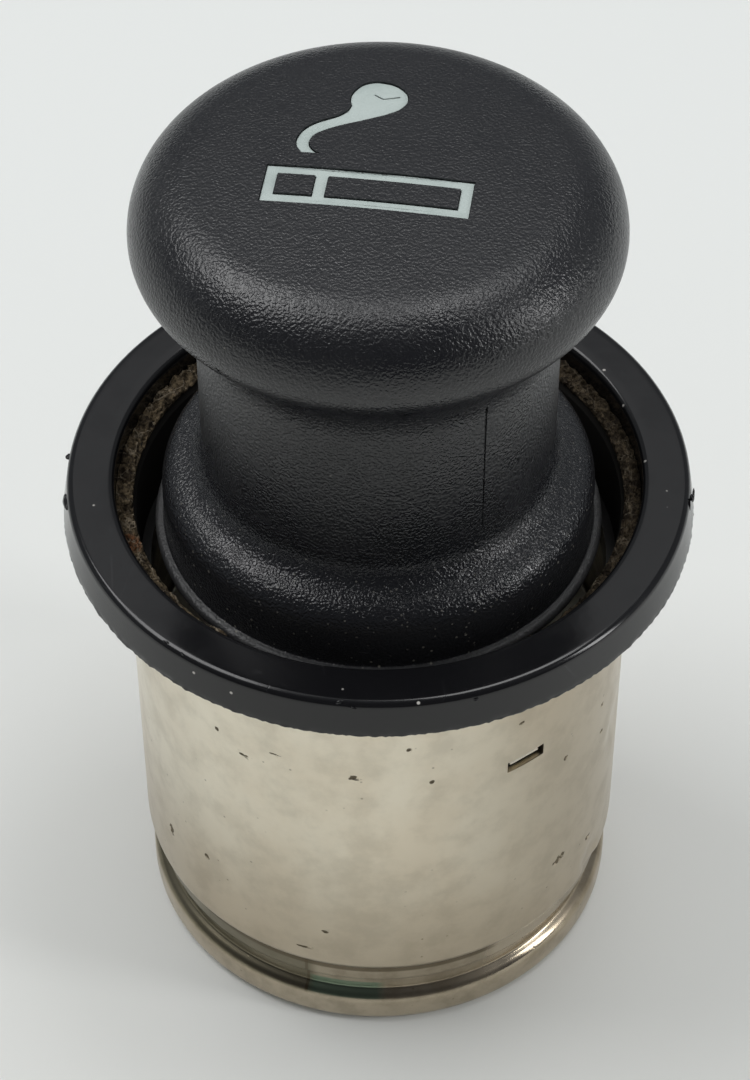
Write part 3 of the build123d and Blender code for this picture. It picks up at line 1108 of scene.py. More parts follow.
@dataclass(frozen=True)
class PackedDust:
    """Dust and lint, tan where piled up and dark between, partly its own tone and partly painted shade in
    its hollows, with pale fibres and a rusty spot.
    """

    name: str
    rust: Mark
    dark: Colour = (0.022, 0.016, 0.011)
    tan: Colour = (0.19, 0.145, 0.09)
    fibre: Colour = (0.36, 0.3, 0.22)
    rusty: Colour = (0.2, 0.08, 0.035)
    clumps: Blotches = Blotches(1500.0, 0.33, 0.58)
    crumb_cells: float = 6000.0
    crumb_share: Flat = (0.35, 1.0)
    lint: Scratches = Scratches(1300.0, (1.0, 1.0, 1.0), 0.07, 0.42)
    lint_share: float = 0.7
    dim_sector: Flat = (20.0, 170.0)
    dim_fade: float = 20.0
    dim_share: float = 0.6
    specular: float = 0.2
    roughness: float = 0.9
    depth: float = 0.06

    def material(self) -> bpy.types.Material:
        """Wire the finish up.

        Returns:
            The material.
        """
        sheet = MaterialSheet(self.name, Roughness=self.roughness, Specular_IOR_Level=self.specular)
        crumbs = sheet.grain(self.crumb_cells)
        lint = sheet.scratches(self.lint)
        rust = sheet.effect(Effect.SPOT, Place=self.rust.place, Radius=self.rust.length * MM / 2)
        # Tan where clumps and crumbs stand up and dark between them: the dust's own tone, and painted
        # shade in its hollows.
        heaped_and_lit = sheet.times(sheet.blotches(self.clumps), sheet.spread(crumbs, *self.crumb_share))
        layers = [
            (sheet.times(lint, self.lint_share), self.fibre),
            (sheet.times(sheet.sector(self.dim_sector, self.dim_fade), self.dim_share), self.dark),
            (sheet.times(rust, crumbs), self.rusty),
        ]
        sheet.feed("Base Color", sheet.cover(sheet.blend(heaped_and_lit, self.dark, self.tan), layers))
        sheet.relief(sheet.most(crumbs, lint), self.depth)
        return sheet.material


def dress(piece: Piece, material: bpy.types.Material) -> None:
    """Give a piece a material in each of its slots.

    Args:
        piece: The piece.
        material: Its finish.
    """
    if not piece.material_slots:
        piece.data.materials.append(material)
    for slot in piece.material_slots:
        slot.material = material


def mount(piece: Piece, body: Body, replaces: str | None = None) -> None:
    """Put a finished piece on its body.

    Args:
        piece: The piece.
        body: The body that carries it.
        replaces: The solid that it stands for, if any.
    """
    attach(piece, body.value)
    if replaces is not None:
        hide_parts(replaces)
    LOG.info("%s rides on %s with %d faces", piece.name, body.value, len(piece.data.polygons))


# Pieces


class Assembly(ABC):
    """A sub-assembly that models its pieces and then finishes and mounts them."""

    @abstractmethod
    def build(self) -> list[Piece]:
        """Model the pieces."""

    @abstractmethod
    def dress(self, pieces: list[Piece]) -> None:
        """Finish the pieces and put them on their bodies."""


@dataclass
class HeadSign:
    """The lighter sign sunk in the knob's head: a cigarette in outline and a wisp, in millimetres."""

    middle: Flat = (-0.4, -1.41)
    slant: float = -8.1
    length: float = 7.7
    width: float = 2.04
    border: float = 0.235
    inner_border: float = 0.25
    divider: float = -1.735
    recess: float = 0.16
    paint_drop: float = 0.08
    paint_thickness: float = 0.05
    paint_inset: float = 0.035
    lead: float = 1.0
    smoke: tuple[Flat, ...] = (
        (-2.12, 0.65),
        (-2.44, 0.99),
        (-2.53, 1.35),
        (-2.39, 1.71),
        (-1.97, 2.02),
        (-0.26, 2.68),
        (0.43, 2.97),
        (0.89, 3.3),
        (1.16, 3.93),
        (0.96, 4.51),
        (0.32, 4.95),
        (-0.38, 4.94),
        (-0.87, 4.47),
        (-1.04, 3.93),
        (-1.0, 3.55),
        (-1.18, 3.17),
        (-2.54, 2.36),
        (-2.94, 1.82),
        (-3.04, 1.28),
        (-2.83, 0.75),
    )
    smoke_corners: tuple[int, ...] = (0, 14, 19)
    scratches: tuple[tuple[Flat, Flat], ...] = (
        ((-0.12, 4.24), (0.22, 3.95)),
        ((0.18, 3.96), (0.84, 4.08)),
    )
    scratch_width: float = 0.07

    def cigarette(self, height: float) -> Piece:
        """Model the outline of the cigarette.

        Args:
            height: Height at which it is made, above the head.

        Returns:
            A flat sheet.
        """
        clear_selection()
        bpy.ops.mesh.primitive_plane_add(size=MM)
        sheet = name_piece(bpy.context.object, "sign_cigarette")
        with edit_mode():
            bpy.ops.transform.resize(value=(self.length, self.width, 1.0))
            bpy.ops.mesh.inset(thickness=self.border * MM)
            bpy.ops.mesh.bisect(plane_co=(self.divider * MM, 0, 0), plane_no=(1, 0, 0))
        across, deep = (self.length - self.border) / 2, (self.width - self.border) / 2
        for face in sheet.data.polygons:
            corners = [sheet.data.vertices[number].co / MM for number in face.vertices]
            face.select = all(abs(corner.x) < across and abs(corner.y) < deep for corner in corners)
        with edit_mode():
            bpy.ops.mesh.select_mode(type="FACE")
            bpy.ops.mesh.inset(thickness=self.inner_border * MM, use_individual=True)
            bpy.ops.mesh.delete(type="FACE")
            bpy.ops.mesh.select_all(action="SELECT")
            bpy.ops.mesh.subdivide(number_cuts=5)
        place = Vector((self.middle[0], self.middle[1], height)) * MM
        return put(sheet, place, Matrix.Rotation(radians(self.slant), 4, "Z"))

    def wisp(self, height: float) -> Piece:
        """Model the wisp of smoke.

        Args:
            height: Height at which it is made, above the head.

        Returns:
            A flat sheet.
        """
        clear_selection()
        bpy.ops.curve.primitive_bezier_circle_add(radius=MM)
        curve = bpy.context.object
        with edit_mode():
            bpy.ops.curve.select_all(action="SELECT")
            bpy.ops.curve.subdivide(number_cuts=len(self.smoke) // 4 - 1)
        curve.data.dimensions = "2D"
        curve.data.fill_mode = "BOTH"
        curve.data.resolution_u = 8
        for knot, (across, deep) in zip(curve.data.splines[0].bezier_points, self.smoke):
            knot.co = Vector((across, deep, 0)) * MM
            knot.handle_left_type = knot.handle_right_type = "AUTO"
        for number in self.smoke_corners:
            corner = curve.data.splines[0].bezier_points[number]
            corner.handle_left_type = corner.handle_right_type = "VECTOR"
        pick(curve)
        bpy.ops.object.convert(target="MESH")
        sheet = name_piece(bpy.context.object, "sign_smoke")
        with edit_mode():
            bpy.ops.mesh.select_all(action="SELECT")
            bpy.ops.mesh.remove_doubles(threshold=WELD)
            bpy.ops.mesh.quads_convert_to_tris()
            bpy.ops.mesh.normals_make_consistent(inside=False)
        sheet.location = (0, 0, height * MM)
        settle(sheet)
        return sheet

    def drape(self, sheet: Piece, knob: Piece, drop: float) -> Piece:
        """Copy a flat sheet and lay the copy under the knob's head.

        Args:
            sheet: The flat sheet above the head.
            knob: The knob that it is laid on.
            drop: Depth below the head's surface, in millimetres.

        Returns:
            The copy, with a mesh of its own.
        """
        pick(sheet)
        bpy.ops.object.duplicate()
        copy = bpy.context.object
        apply_modifier(
            copy,
            "SHRINKWRAP",
            target=knob,
            wrap_method="PROJECT",
            use_project_z=True,
            use_negative_direction=True,
            use_positive_direction=False,
        )
        copy.location = (0, 0, -drop * MM)
        settle(copy)
        return copy

    def sink(self, knob: Piece, top: float) -> list[Piece]:
        """Sink the sign into the knob's head.

        Args:
            knob: The turned knob, which gets the recess.
            top: Height of the head's top, in millimetres.

        Returns:
            The painted pieces that lie in the recess.
        """
        paints, cutters = [], []
        for sheet in (self.cigarette(top + self.lead), self.wisp(top + self.lead)):
            cutter = self.drape(sheet, knob, self.recess)
            paint = self.drape(sheet, knob, self.paint_drop)
            self.thicken(cutter, 0.0, self.lead)
            self.thicken(paint, self.paint_inset, -self.paint_thickness)
            name = sheet.name
            bpy.data.objects.remove(sheet)
            paints.append(name_piece(paint, name))
            cutters.append(cutter)
        cut(knob, join(cutters, "sign_cutter"))
        for start, end in self.scratches:
            cut(paints[1], self.scratch(start, end, top))
        return paints

    @staticmethod
    def thicken(sheet: Piece, inset: float, rise: float) -> None:
        """Trim a sheet's edge and give it a thickness.

        Args:
            sheet: The sheet, which becomes a closed solid.
            inset: Width of the edge that is trimmed off, in millimetres.
            rise: Height by which it is drawn up, or down where negative.
        """
        pick(sheet)
        with edit_mode():
            bpy.ops.mesh.select_mode(type="FACE")
            bpy.ops.mesh.select_all(action="SELECT")
            if inset:
                bpy.ops.mesh.inset(thickness=inset * MM)
                bpy.ops.mesh.select_all(action="INVERT")
                bpy.ops.mesh.delete(type="FACE")
                bpy.ops.mesh.select_all(action="SELECT")
            bpy.ops.mesh.extrude_region_move(TRANSFORM_OT_translate={"value": (0, 0, rise * MM)})
            bpy.ops.mesh.select_all(action="SELECT")
            bpy.ops.mesh.normals_make_consistent(inside=False)

    def scratch(self, start: Flat, end: Flat, top: float) -> Piece:
        """Model the cutter of a scratch in the painted smoke.

        Args:
            start: One end of the scratch on the head, in millimetres.
            end: Its other end.
            top: Height of the head's top.

        Returns:
            A thin upright blade.
        """
        run = Vector(end) - Vector(start)
        middle = (Vector(end) + Vector(start)) / 2
        blade = add_block(run.length, self.scratch_width, self.lead)
        place = Vector((middle.x, middle.y, top)) * MM
        return put(blade, place, Matrix.Rotation(atan2(run.y, run.x), 4, "Z"))


@dataclass
class Knob(Assembly):
    """The knob: mushroom head, waisted neck and flared skirt with a plain lip, in millimetres."""

    dome_radius: float = 90.0
    upper_round: float = 2.71
    lower_round: float = 1.66
    neck_radius: float = 7.05
    neck_round: float = 3.78
    flare_round: float = 1.2
    shoulder_round: float = 1.2
    skirt_radius: float = 8.73
    lip_radius: float = 9.1
    lip_height: float = 0.55
    lip_round: float = 0.24
    step_round: float = 0.1
    skirt_height: float = 1.88
    waist_height: float = 13.17
    wall: float = 1.29
    top_wall: float = 3.4
    boss_radius: float = 3.62
    boss_drop: float = 7.5
    insert_radius: float = 2.42
    insert_length: float = 7.0
    flats: int = 288
    mould_line: float = 34.4
    mould_line_low: float = 26.6
    mould_line_high: float = 33.1
    mould_line_width: float = 0.12
    mould_line_depth: float = 0.07
    mould_line_taper: Triple = (0.4, 1.0, 0.5)
    nicks: tuple[Mark, ...] = (
        Mark(41.5, 7.78, 34.6, 0.24, 0.8, 0.22, spin=-12.0, tilt=-38.0),
        Mark(53.0, 7.4, 34.0, 0.07, 0.8, 0.06, spin=-28.0, tilt=-25.0),
        Mark(-38.0, 9.27, 36.3, 0.18, 0.5, 0.08, spin=30.0, tilt=-20.0),
        Mark(-14.4, 8.78, 35.6, 0.42, 0.14, 0.08, spin=0.0, tilt=-50.0),
        Mark(-8.9, 8.73, 22.9, 0.45, 0.08, 0.035, spin=40.0),
        Mark(-3.0, 8.73, 22.65, 0.5, 0.08, 0.035, spin=-10.0),
    )
    sign: HeadSign = field(default_factory=HeadSign)
    paint: DullMineral = DullMineral(
        "sign paint", (0.43, 0.49, 0.475), (0.37, 0.43, 0.415), 0.6, 5200.0, 0.008
    )

    def draw(self) -> Piece:
        """Draw the half section from the head's top to the lip and back up inside, and turn it.

        Returns:
            The plain moulding.
        """
        low_corner, high_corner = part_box("knob")
        low, top, head = low_corner[2] / MM, high_corner[2] / MM, high_corner[0] / MM
        head_z = low + self.lip_height + self.skirt_height + self.waist_height
        dome = (0.0, top - self.dome_radius)
        upper = (head - self.upper_round, head_z)
        lower = (head - self.lower_round, head_z)
        dome_edge = degrees(atan2(upper[1] - dome[1], upper[0]))
        across = self.neck_radius + self.neck_round - lower[0]
        neck_top = head_z - sqrt((self.lower_round + self.neck_round) ** 2 - across**2)
        neck_turn = degrees(atan2(head_z - neck_top, across))
        shoulder = (self.skirt_radius - self.shoulder_round, low + self.lip_height + self.skirt_height)
        across = self.neck_radius + self.flare_round - shoulder[0]
        rise = sqrt((self.flare_round + self.shoulder_round) ** 2 - across**2)
        neck_low = shoulder[1] + rise
        flare_turn = degrees(atan2(rise, across))
        lip_top = low + self.lip_height
        bore = self.neck_radius - self.wall
        skirt_bore = self.skirt_radius - self.wall
        bore_top = top - self.top_wall
        boss_low = bore_top - self.boss_drop
        insert_top = boss_low + self.insert_length
        pen = SectionPen("knob_moulding", 0.0, top)
        pen.arc(dome, dome_edge - 90, 36)
        pen.arc(upper, -dome_edge, 22)
        pen.arc(lower, -neck_turn, 12)
        pen.arc((self.neck_radius + self.neck_round, neck_top), neck_turn, 20)
        pen.line(self.neck_radius, neck_low, 16)
        pen.arc((self.neck_radius + self.flare_round, neck_low), flare_turn, 14)
        pen.arc(shoulder, -flare_turn, 14)
        pen.line(self.skirt_radius, lip_top + 2 * self.step_round, 6)
        pen.corner((self.skirt_radius, lip_top), (self.lip_radius, lip_top), self.step_round, 4)
        pen.corner((self.lip_radius, lip_top), (self.lip_radius, low), self.lip_round, 6)
        pen.corner((self.lip_radius, low), (skirt_bore, low), self.lip_round, 5)
        pen.line(skirt_bore, low)
        pen.line(skirt_bore, shoulder[1], 2)
        pen.line(bore, neck_low, 2)
        pen.line(bore, bore_top, 4)
        pen.line(self.boss_radius, bore_top)
        pen.line(self.boss_radius, boss_low, 2)
        pen.line(self.insert_radius, boss_low)
        pen.line(self.insert_radius, insert_top, 2)
        pen.line(0.0, insert_top)
        return pen.turn(self.flats)

    def mould_groove(self) -> Piece:
        """Model the tool mark that runs down the neck.

        Returns:
            A cutter that narrows downwards.
        """
        height = self.mould_line_high - self.mould_line_low
        wedge = add_block(self.mould_line_width, height, 2 * self.mould_line_depth)
        with chosen_points(wedge, lambda place: place.y < 0):
            foot = (0, -height * MM / 2, 0)
            bpy.ops.transform.resize(value=self.mould_line_taper, center_override=foot)
        middle = (self.mould_line_high + self.mould_line_low) / 2
        return put(wedge, on_turned(self.mould_line, self.neck_radius, middle), facing(self.mould_line))

    def build(self) -> list[Piece]:
        """Model the knob.

        Returns:
            The moulding, then the sign's painted pieces.
        """
        moulding = self.draw()
        cutters = [mark.pebble(seed) for seed, mark in enumerate(self.nicks)]
        cut(moulding, join([self.mould_groove(), *cutters], "nick_cutter"))
        paints = self.sign.sink(moulding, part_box("knob")[1][2] / MM)
        smooth(moulding)
        return [moulding, *paints]

    def dress(self, pieces: list[Piece]) -> None:
        """Finish the pieces and put them on the plunger.

        Args:
            pieces: The moulding, then the sign's painted pieces.
        """
        moulding, *paints = pieces
        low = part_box("knob")[0][2] / MM
        lip_top = low + self.lip_height
        skirt_top = lip_top + self.skirt_height
        flare_top = skirt_top + self.flare_round + self.shoulder_round
        plastic = GrainedPlastic("grained black moulding", low, lip_top, skirt_top, flare_top)
        dress(moulding, plastic.material())
        mount(moulding, Body.PLUNGER, "knob")
        pigment = self.paint.material()
        for piece in paints:
            smooth(piece)
            dress(piece, pigment)
            mount(piece, Body.PLUNGER)


@dataclass
class TrimRing(Assembly):
    """The black ring round the sleeve's mouth, with flash along its lower edge, in millimetres."""

    draft: float = 0.26
    edge_round: float = 0.32
    edge_start: float = 1.2
    bore_round: float = 0.3
    bore: float = 10.64
    seat: float = 10.39
    seat_height: float = 22.75
    foot_round: float = 0.05
    foot_land: float = 0.6
    side_end: float = 0.8
    flash_band: float = 0.24
    flash_width: float = 0.2
    flash_size: float = 0.00024
    flash_level: float = 0.62
    flash_reach: float = 0.16
    flats: int = 640
    chip_seed: int = 40
    burr_seed: int = 60
    burr_raggedness: float = 0.35
    plastic: SmoothPlastic = SmoothPlastic("smooth black moulding")
    chips: tuple[Mark, ...] = (
        Mark(81.6, 12.56, 23.75, 0.5, 0.5, 0.3, spin=10.0, tilt=30.0),
        Mark(24.0, 12.5, 24.02, 0.16, 0.1, 0.05, tilt=45.0),
        Mark(-31.0, 12.5, 24.0, 0.5, 0.09, 0.04, tilt=45.0),
    )
    burrs: tuple[Mark, ...] = (
        Mark(-83.5, 12.58, 23.55, 1.15, 0.3, 0.16, spin=12.0),
        Mark(-94.6, 12.62, 23.65, 0.3, 0.14, 0.12, spin=-10.0),
        Mark(83.6, 12.62, 23.7, 0.3, 0.2, 0.1, spin=20.0),
        Mark(-6.8, 12.44, 23.99, 0.32, 0.14, 0.05, spin=25.0, tilt=50.0),
        Mark(-4.6, 12.56, 23.84, 0.4, 0.08, 0.04, spin=-8.0, tilt=20.0),
        Mark(-41.0, 12.4, 24.02, 0.3, 0.1, 0.04, spin=15.0, tilt=60.0),
        Mark(-37.0, 12.45, 24.0, 0.2, 0.1, 0.04, spin=-15.0, tilt=50.0),
        Mark(17.0, 12.62, 23.75, 0.22, 0.12, 0.04, tilt=15.0),
        Mark(86.0, 12.7, 23.3, 0.1, 0.7, 0.05, spin=-14.0),
    )

    def build(self) -> list[Piece]:
        """Model the ring with its flash, chips and burrs.

        Returns:
            The ring alone.
        """
        low_corner, high_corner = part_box("trim_ring")
        low, top, radius = low_corner[2] / MM, high_corner[2] / MM, high_corner[0] / MM
        upper = radius - self.draft
        pen = SectionPen("ring_moulding", self.seat, low)
        pen.line(radius - self.foot_land, low, 2)
        pen.corner((radius, low), (upper, top), self.foot_round, 3)
        slope = self.draft / (top - low)
        pen.line(radius - slope * self.flash_band, low + self.flash_band, 4)
        pen.line(radius - self.draft * self.side_end, top - self.edge_round * self.edge_start, 8)
        pen.corner((upper, top), (self.bore, top), self.edge_round, 10)
        pen.line(self.bore + 2 * self.bore_round, top, 6)
        pen.corner((self.bore, top), (self.bore, self.seat_height), self.bore_round, 8)
        pen.line(self.bore, self.seat_height, 5)
        pen.line(self.seat, low, 2)
        ring = pen.turn(self.flats)
        cutters = [mark.pebble(self.chip_seed + number) for number, mark in enumerate(self.chips)]
        cut(ring, join(cutters, "chip_cutter"))
        for number, mark in enumerate(self.burrs):
            burr = mark.pebble(self.burr_seed + number, self.burr_raggedness)
            apply_modifier(ring, "BOOLEAN", operation="UNION", object=burr, solver="EXACT")
            bpy.data.objects.remove(burr)
        self.flash(ring, radius, low)
        smooth(ring)
        return [ring]

    def flash(self, ring: Piece, radius: float, low: float) -> None:
        """Roughen the ring's lower outer edge with moulding flash.

        Args:
            ring: The turned ring.
            radius: Its outer radius.
            low: Height of its underside.
        """
        edge = ring.vertex_groups.new(name="flash")
        for point in ring.data.vertices:
            place = point.co / MM
            if place.xy.length > radius - self.flash_width and place.z < low + self.flash_band:
                edge.add([point.index], 1.0 - (place.z - low) / self.flash_band, "REPLACE")
        roughen(
            ring,
            "flash",
            self.flash_size,
            depth=4,
            vertex_group="flash",
            direction="NORMAL",
            mid_level=self.flash_level,
            strength=self.flash_reach * MM,
        )

    def dress(self, pieces: list[Piece]) -> None:
        """Finish the ring and put it on the sleeve."""
        dress(pieces[0], self.plastic.material())
        mount(pieces[0], Body.SLEEVE, "trim_ring")


@dataclass
class Sleeve(Assembly):
    """The plated sleeve: flared rim, plain wall, two-step groove and rolled bead, in millimetres."""

    wall: float = 0.5
    wall_radius: float = 10.35
    bead_radius: float = 10.2
    bead_height: float = 1.65
    bead_lip: float = 0.65
    bead_round: float = 0.6
    groove_radius: float = 9.74
    groove_height: float = 0.75
    land_radius: float = 9.97
    land_height: float = 0.85
    groove_slope: float = 0.28
    shoulder_height: float = 0.55
    groove_round: float = 0.16
    shoulder_round: float = 0.6
    flare_height: float = 0.35
    flare_round: float = 0.3
    flats: int = 360
    window: Mark = Mark(35.0, 10.1, 15.91, 1.8, 0.62, 0.5)
    window_count: int = 2
    window_bevel: float = 0.05
    barb: Mark = Mark(35.3, 10.0, 15.86, 1.45, 0.3, 0.12, tilt=30.0)
    barb_steel: SheetMetal = SheetMetal("rubbed barb", (0.66, 0.62, 0.53), (0.5, 0.46, 0.38), 0.3)
    rim_dirt: float = 0.12
    dent_core: float = 0.3
    pits: tuple[Mark, ...] = (
        Mark(-5.5, 10.36, 16.94, 0.5, 0.3, 0.07, spin=-15.0),
        Mark(47.7, 10.36, 7.41, 0.8, 0.4, 0.07, spin=35.0),
        Mark(60.2, 10.36, 6.54, 0.42, 0.22, 0.06, spin=-30.0),
        Mark(-59.4, 10.36, 7.28, 0.4, 0.55, 0.05, spin=-20.0),
        Mark(-44.8, 10.36, 8.07, 0.3, 0.4, 0.05, spin=15.0),
        Mark(6.6, 10.36, 18.66, 0.24, 0.2, 0.05),
        Mark(11.8, 10.36, 16.47, 0.2, 0.2, 0.05),
        Mark(47.8, 10.36, 14.11, 0.28, 0.3, 0.05),
        Mark(33.4, 10.36, 18.35, 0.3, 0.16, 0.05, spin=40.0),
        Mark(64.0, 10.36, 12.93, 0.3, 0.22, 0.05),
        Mark(63.1, 10.36, 14.81, 0.3, 0.25, 0.05),
        Mark(-31.7, 10.36, 16.58, 0.7, 0.12, 0.04, spin=-32.0),
        Mark(-23.3, 10.36, 17.42, 0.5, 0.09, 0.03, spin=-60.0),
        Mark(-17.6, 10.36, 5.06, 0.85, 0.12, 0.04, spin=-3.0),
        Mark(-12.8, 10.36, 6.44, 0.3, 0.18, 0.04),
        Mark(-38.8, 10.36, 17.32, 0.2, 0.2, 0.04),
        Mark(152.0, 10.36, 12.0, 0.5, 0.3, 0.06, spin=25.0),
        Mark(-128.0, 10.36, 9.0, 0.3, 0.3, 0.05),
    )
    dents: tuple[Mark, ...] = (
        Mark(63.0, 10.3, 4.75, 1.6, 1.6, 0.14),
        Mark(76.0, 10.3, 11.4, 2.2, 2.4, 0.1),
        Mark(78.0, 10.3, 14.6, 1.2, 0.9, 0.07),
    )

    def build(self) -> list[Piece]:
        """Model the sleeve with its windows, dents and pits, and the barbs that show in the windows.

        Returns:
            The sleeve, then the worn edges of the barbs.
        """
        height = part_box("sleeve")[1][2] / MM
        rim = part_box("sleeve")[1][0] / MM
        groove_low = self.bead_height + self.groove_slope
        groove_step = groove_low + self.groove_height
        land_low = groove_step + self.groove_slope / 2
        shoulder_low = land_low + self.land_height
        body_low = shoulder_low + self.shoulder_height
        flare_low = height - self.flare_height
        lip = self.bead_radius - self.bead_lip
        bore = self.wall_radius - self.wall
        pen = SectionPen("sleeve_shell", lip, 0.0)
        route = (
            ((self.bead_radius, 0.0), self.bead_round, 8),
            ((self.bead_radius, self.bead_height), self.bead_round, 8),
            ((self.groove_radius, groove_low), self.groove_round, 5),
            ((self.groove_radius, groove_step), self.groove_round, 5),
            ((self.land_radius, land_low), self.groove_round, 5),
            ((self.land_radius, shoulder_low), self.groove_round, 5),
            ((self.wall_radius, body_low), self.shoulder_round, 8),
        )
        for number, (point, radius, parts) in enumerate(route):
            onward = route[number + 1][0] if number + 1 < len(route) else (self.wall_radius, flare_low)
            pen.corner(point, onward, radius, parts)
        pen.line(self.wall_radius, flare_low - self.flare_round, 44)
        pen.corner((self.wall_radius, flare_low), (rim, height), self.flare_round, 5)
        pen.line(rim, height, 2)
        pen.line(rim - self.wall, height, 3)
        pen.line(bore, flare_low, 2)
        pen.line(bore, body_low, 12)
        pen.line(self.groove_radius - self.wall, groove_step, 3)
        pen.line(self.groove_radius - self.wall, groove_low, 2)
        pen.line(self.bead_radius - self.wall, self.bead_height, 2)
        pen.line(self.bead_radius - self.wall, self.wall, 2)
        pen.line(lip, self.wall)
        pen.line(lip, 0.0)
        shell = pen.turn(self.flats)
        for dent in self.dents:
            self.dent(shell, dent)
        cut(shell, self.blocks(self.window, "window_cutter"))
        cut(shell, join([mark.pebble(seed) for seed, mark in enumerate(self.pits)], "pit_cutter"))
        barbs = self.blocks(self.barb, "cup_barbs")
        for piece in (shell, barbs):
            smooth(piece)
        return [shell, barbs]

    def blocks(self, mark: Mark, name: str) -> Piece:
        """Model a bevelled block at every window.

        Args:
            mark: Size and place of the block at the first window.
            name: The name of the blocks together.

        Returns:
            The blocks as one piece.
        """
        made = []
        for number in range(self.window_count):
            azimuth = mark.azimuth + number * 360 / self.window_count
            block = add_block(mark.length, mark.width, 2 * mark.depth, self.window_bevel)
            place = on_turned(azimuth, mark.radius, mark.height)
            made.append(put(block, place, facing(azimuth, mark.tilt, mark.spin)))
        return join(made, name)

    def dent(self, shell: Piece, mark: Mark) -> None:
        """Push the wall in where it was knocked, with a soft edge.

        Args:
            shell: The turned sleeve.
            mark: Place, size and depth of the dent.
        """
        middle = mark.place / MM
        inward = Vector((-middle.x, -middle.y, 0)).normalized()
        with chosen_points(shell, lambda place: (place - middle).length < mark.width * self.dent_core):
            bpy.ops.transform.translate(
                value=inward * mark.depth * MM,
                use_proportional_edit=True,
                proportional_edit_falloff="SMOOTH",
                proportional_size=mark.length * MM / 2,
            )

    def dress(self, pieces: list[Piece]) -> None:
        """Finish the sleeve and the barbs in its windows, and put them on their body.

        Args:
            pieces: The sleeve, then the barbs.
        """
        shell, barbs = pieces
        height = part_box("sleeve")[1][2] / MM
        # The plate's colour paints shade in the bore, the groove and under the shoulder, reflections in
        # the groove, and a highlight in one sector.
        finish = WornPlate(
            "worn nickel plate",
            spots=self.pits,
            rim_low=height - self.rim_dirt,
            groove_low=self.bead_height,
            groove_high=self.bead_height + 2 * self.groove_slope + self.groove_height + self.land_height,
            bore=self.wall_radius - self.wall / 2,
            bore_low=height / 3,
        )
        dress(shell, finish.material())
        mount(shell, Body.SLEEVE, "sleeve")
        dress(barbs, self.barb_steel.material())
        mount(barbs, Body.SLEEVE)


@dataclass
class LedgeDirt(Assembly):
    """Dust and lint packed on the sleeve's raw rim inside the trim ring, in millimetres."""

    inner: float = 9.95
    outer: float = 10.62
    depth: float = 0.26
    crest: float = 0.9
    inner_share: float = 0.3
    sink: float = 0.03
    lump_size: float = 0.0006
    lump_reach: float = 0.6
    fuzz_size: float = 0.00018
    fuzz_reach: float = 0.5
    crease: float = 50.0
    flats: int = 640
    rust: Mark = Mark(-72.0, 10.4, 23.0, 1.2, 1.2, 0.1)

    def build(self) -> list[Piece]:
        """Model the dirt as a low lumpy band that lies on the rim.

        Returns:
            The band alone.
        """
        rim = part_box("sleeve")[1][2] / MM
        pen = SectionPen("ledge_dirt", self.inner, rim - self.sink)
        pen.line(self.outer, rim - self.sink, 2)
        pen.line(self.outer, rim + self.depth, 3)
        pen.line((2 * self.inner + self.outer) / 3, rim + self.depth * self.crest, 10)
        pen.line(self.inner, rim + self.depth * self.inner_share, 6)
        pen.line(self.inner, rim - self.sink, 2)
        band = pen.turn(self.flats)
        top = band.vertex_groups.new(name="top")
        top.add([point.index for point in band.data.vertices if point.co.z / MM > rim], 1.0, "REPLACE")
        lumps = ("lumps", self.lump_size, self.lump_reach)
        fuzz = ("fuzz", self.fuzz_size, self.fuzz_reach)
        for name, size, reach in (lumps, fuzz):
            push = {"vertex_group": "top", "direction": "Z", "mid_level": 0.5, "strength": reach * MM}
            roughen(band, name, size, depth=3, **push)
        smooth(band, self.crease)
        return [band]

    def dress(self, pieces: list[Piece]) -> None:
        """Finish the dirt and put it on the sleeve."""
        dress(pieces[0], PackedDust("packed dust", self.rust).material())
        mount(pieces[0], Body.SLEEVE)


@dataclass
class ReturnSpring(Assembly):
    """The round wire spring under the knob, which the knob presses down, wound here at its free length,
    in millimetres.
    """

    wire: float = 0.9
    wire_sides: int = 16
    turns: float = 5.5
    steps: int = 48
    stroke: float = 7.0
    steel: SheetMetal = SheetMetal("drawn spring wire", (0.42, 0.41, 0.4), (0.3, 0.28, 0.26), 0.3)

    def build(self) -> list[Piece]:
        """Wind the wire up from the cup's floor to the washer.

        Returns:
            The coil alone.
        """
        low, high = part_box("return_spring")
        half = self.wire / 2
        bottom, top = low[2] / MM + half, high[2] / MM - half
        clear_selection()
        bpy.ops.mesh.primitive_circle_add(vertices=self.wire_sides, radius=half * MM, fill_type="NGON")
        coil = name_piece(bpy.context.object, "spring_coil")
        put(coil, Vector((high[0] / MM - half, 0, bottom)) * MM, Matrix.Rotation(radians(90), 4, "X"))
        with edit_mode():
            bpy.ops.mesh.select_all(action="SELECT")
            bpy.ops.mesh.delete(type="ONLY_FACE")
        steps = round(self.steps * self.turns)
        apply_modifier(
            coil,
            "SCREW",
            axis="Z",
            angle=TURN * self.turns,
            screw_offset=(top - bottom) * MM,
            steps=steps,
            render_steps=steps,
            use_merge_vertices=False,
        )
        pick(coil)
        with edit_mode():
            bpy.ops.mesh.select_mode(type="EDGE")
            bpy.ops.mesh.select_all(action="DESELECT")
            bpy.ops.mesh.select_non_manifold()
            bpy.ops.mesh.edge_face_add()
            bpy.ops.mesh.select_all(action="SELECT")
            bpy.ops.mesh.normals_make_consistent(inside=False)
        smooth(coil)
        return [coil]

    def dress(self, pieces: list[Piece]) -> None:
        """Finish the spring and put it in its cup, with a mesh of its own.

        Args:
            pieces: The coil alone.
        """
        coil = pieces[0]
        dress(coil, self.steel.material())
        mount(coil, Body.SLEEVE, "return_spring")
        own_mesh(coil)


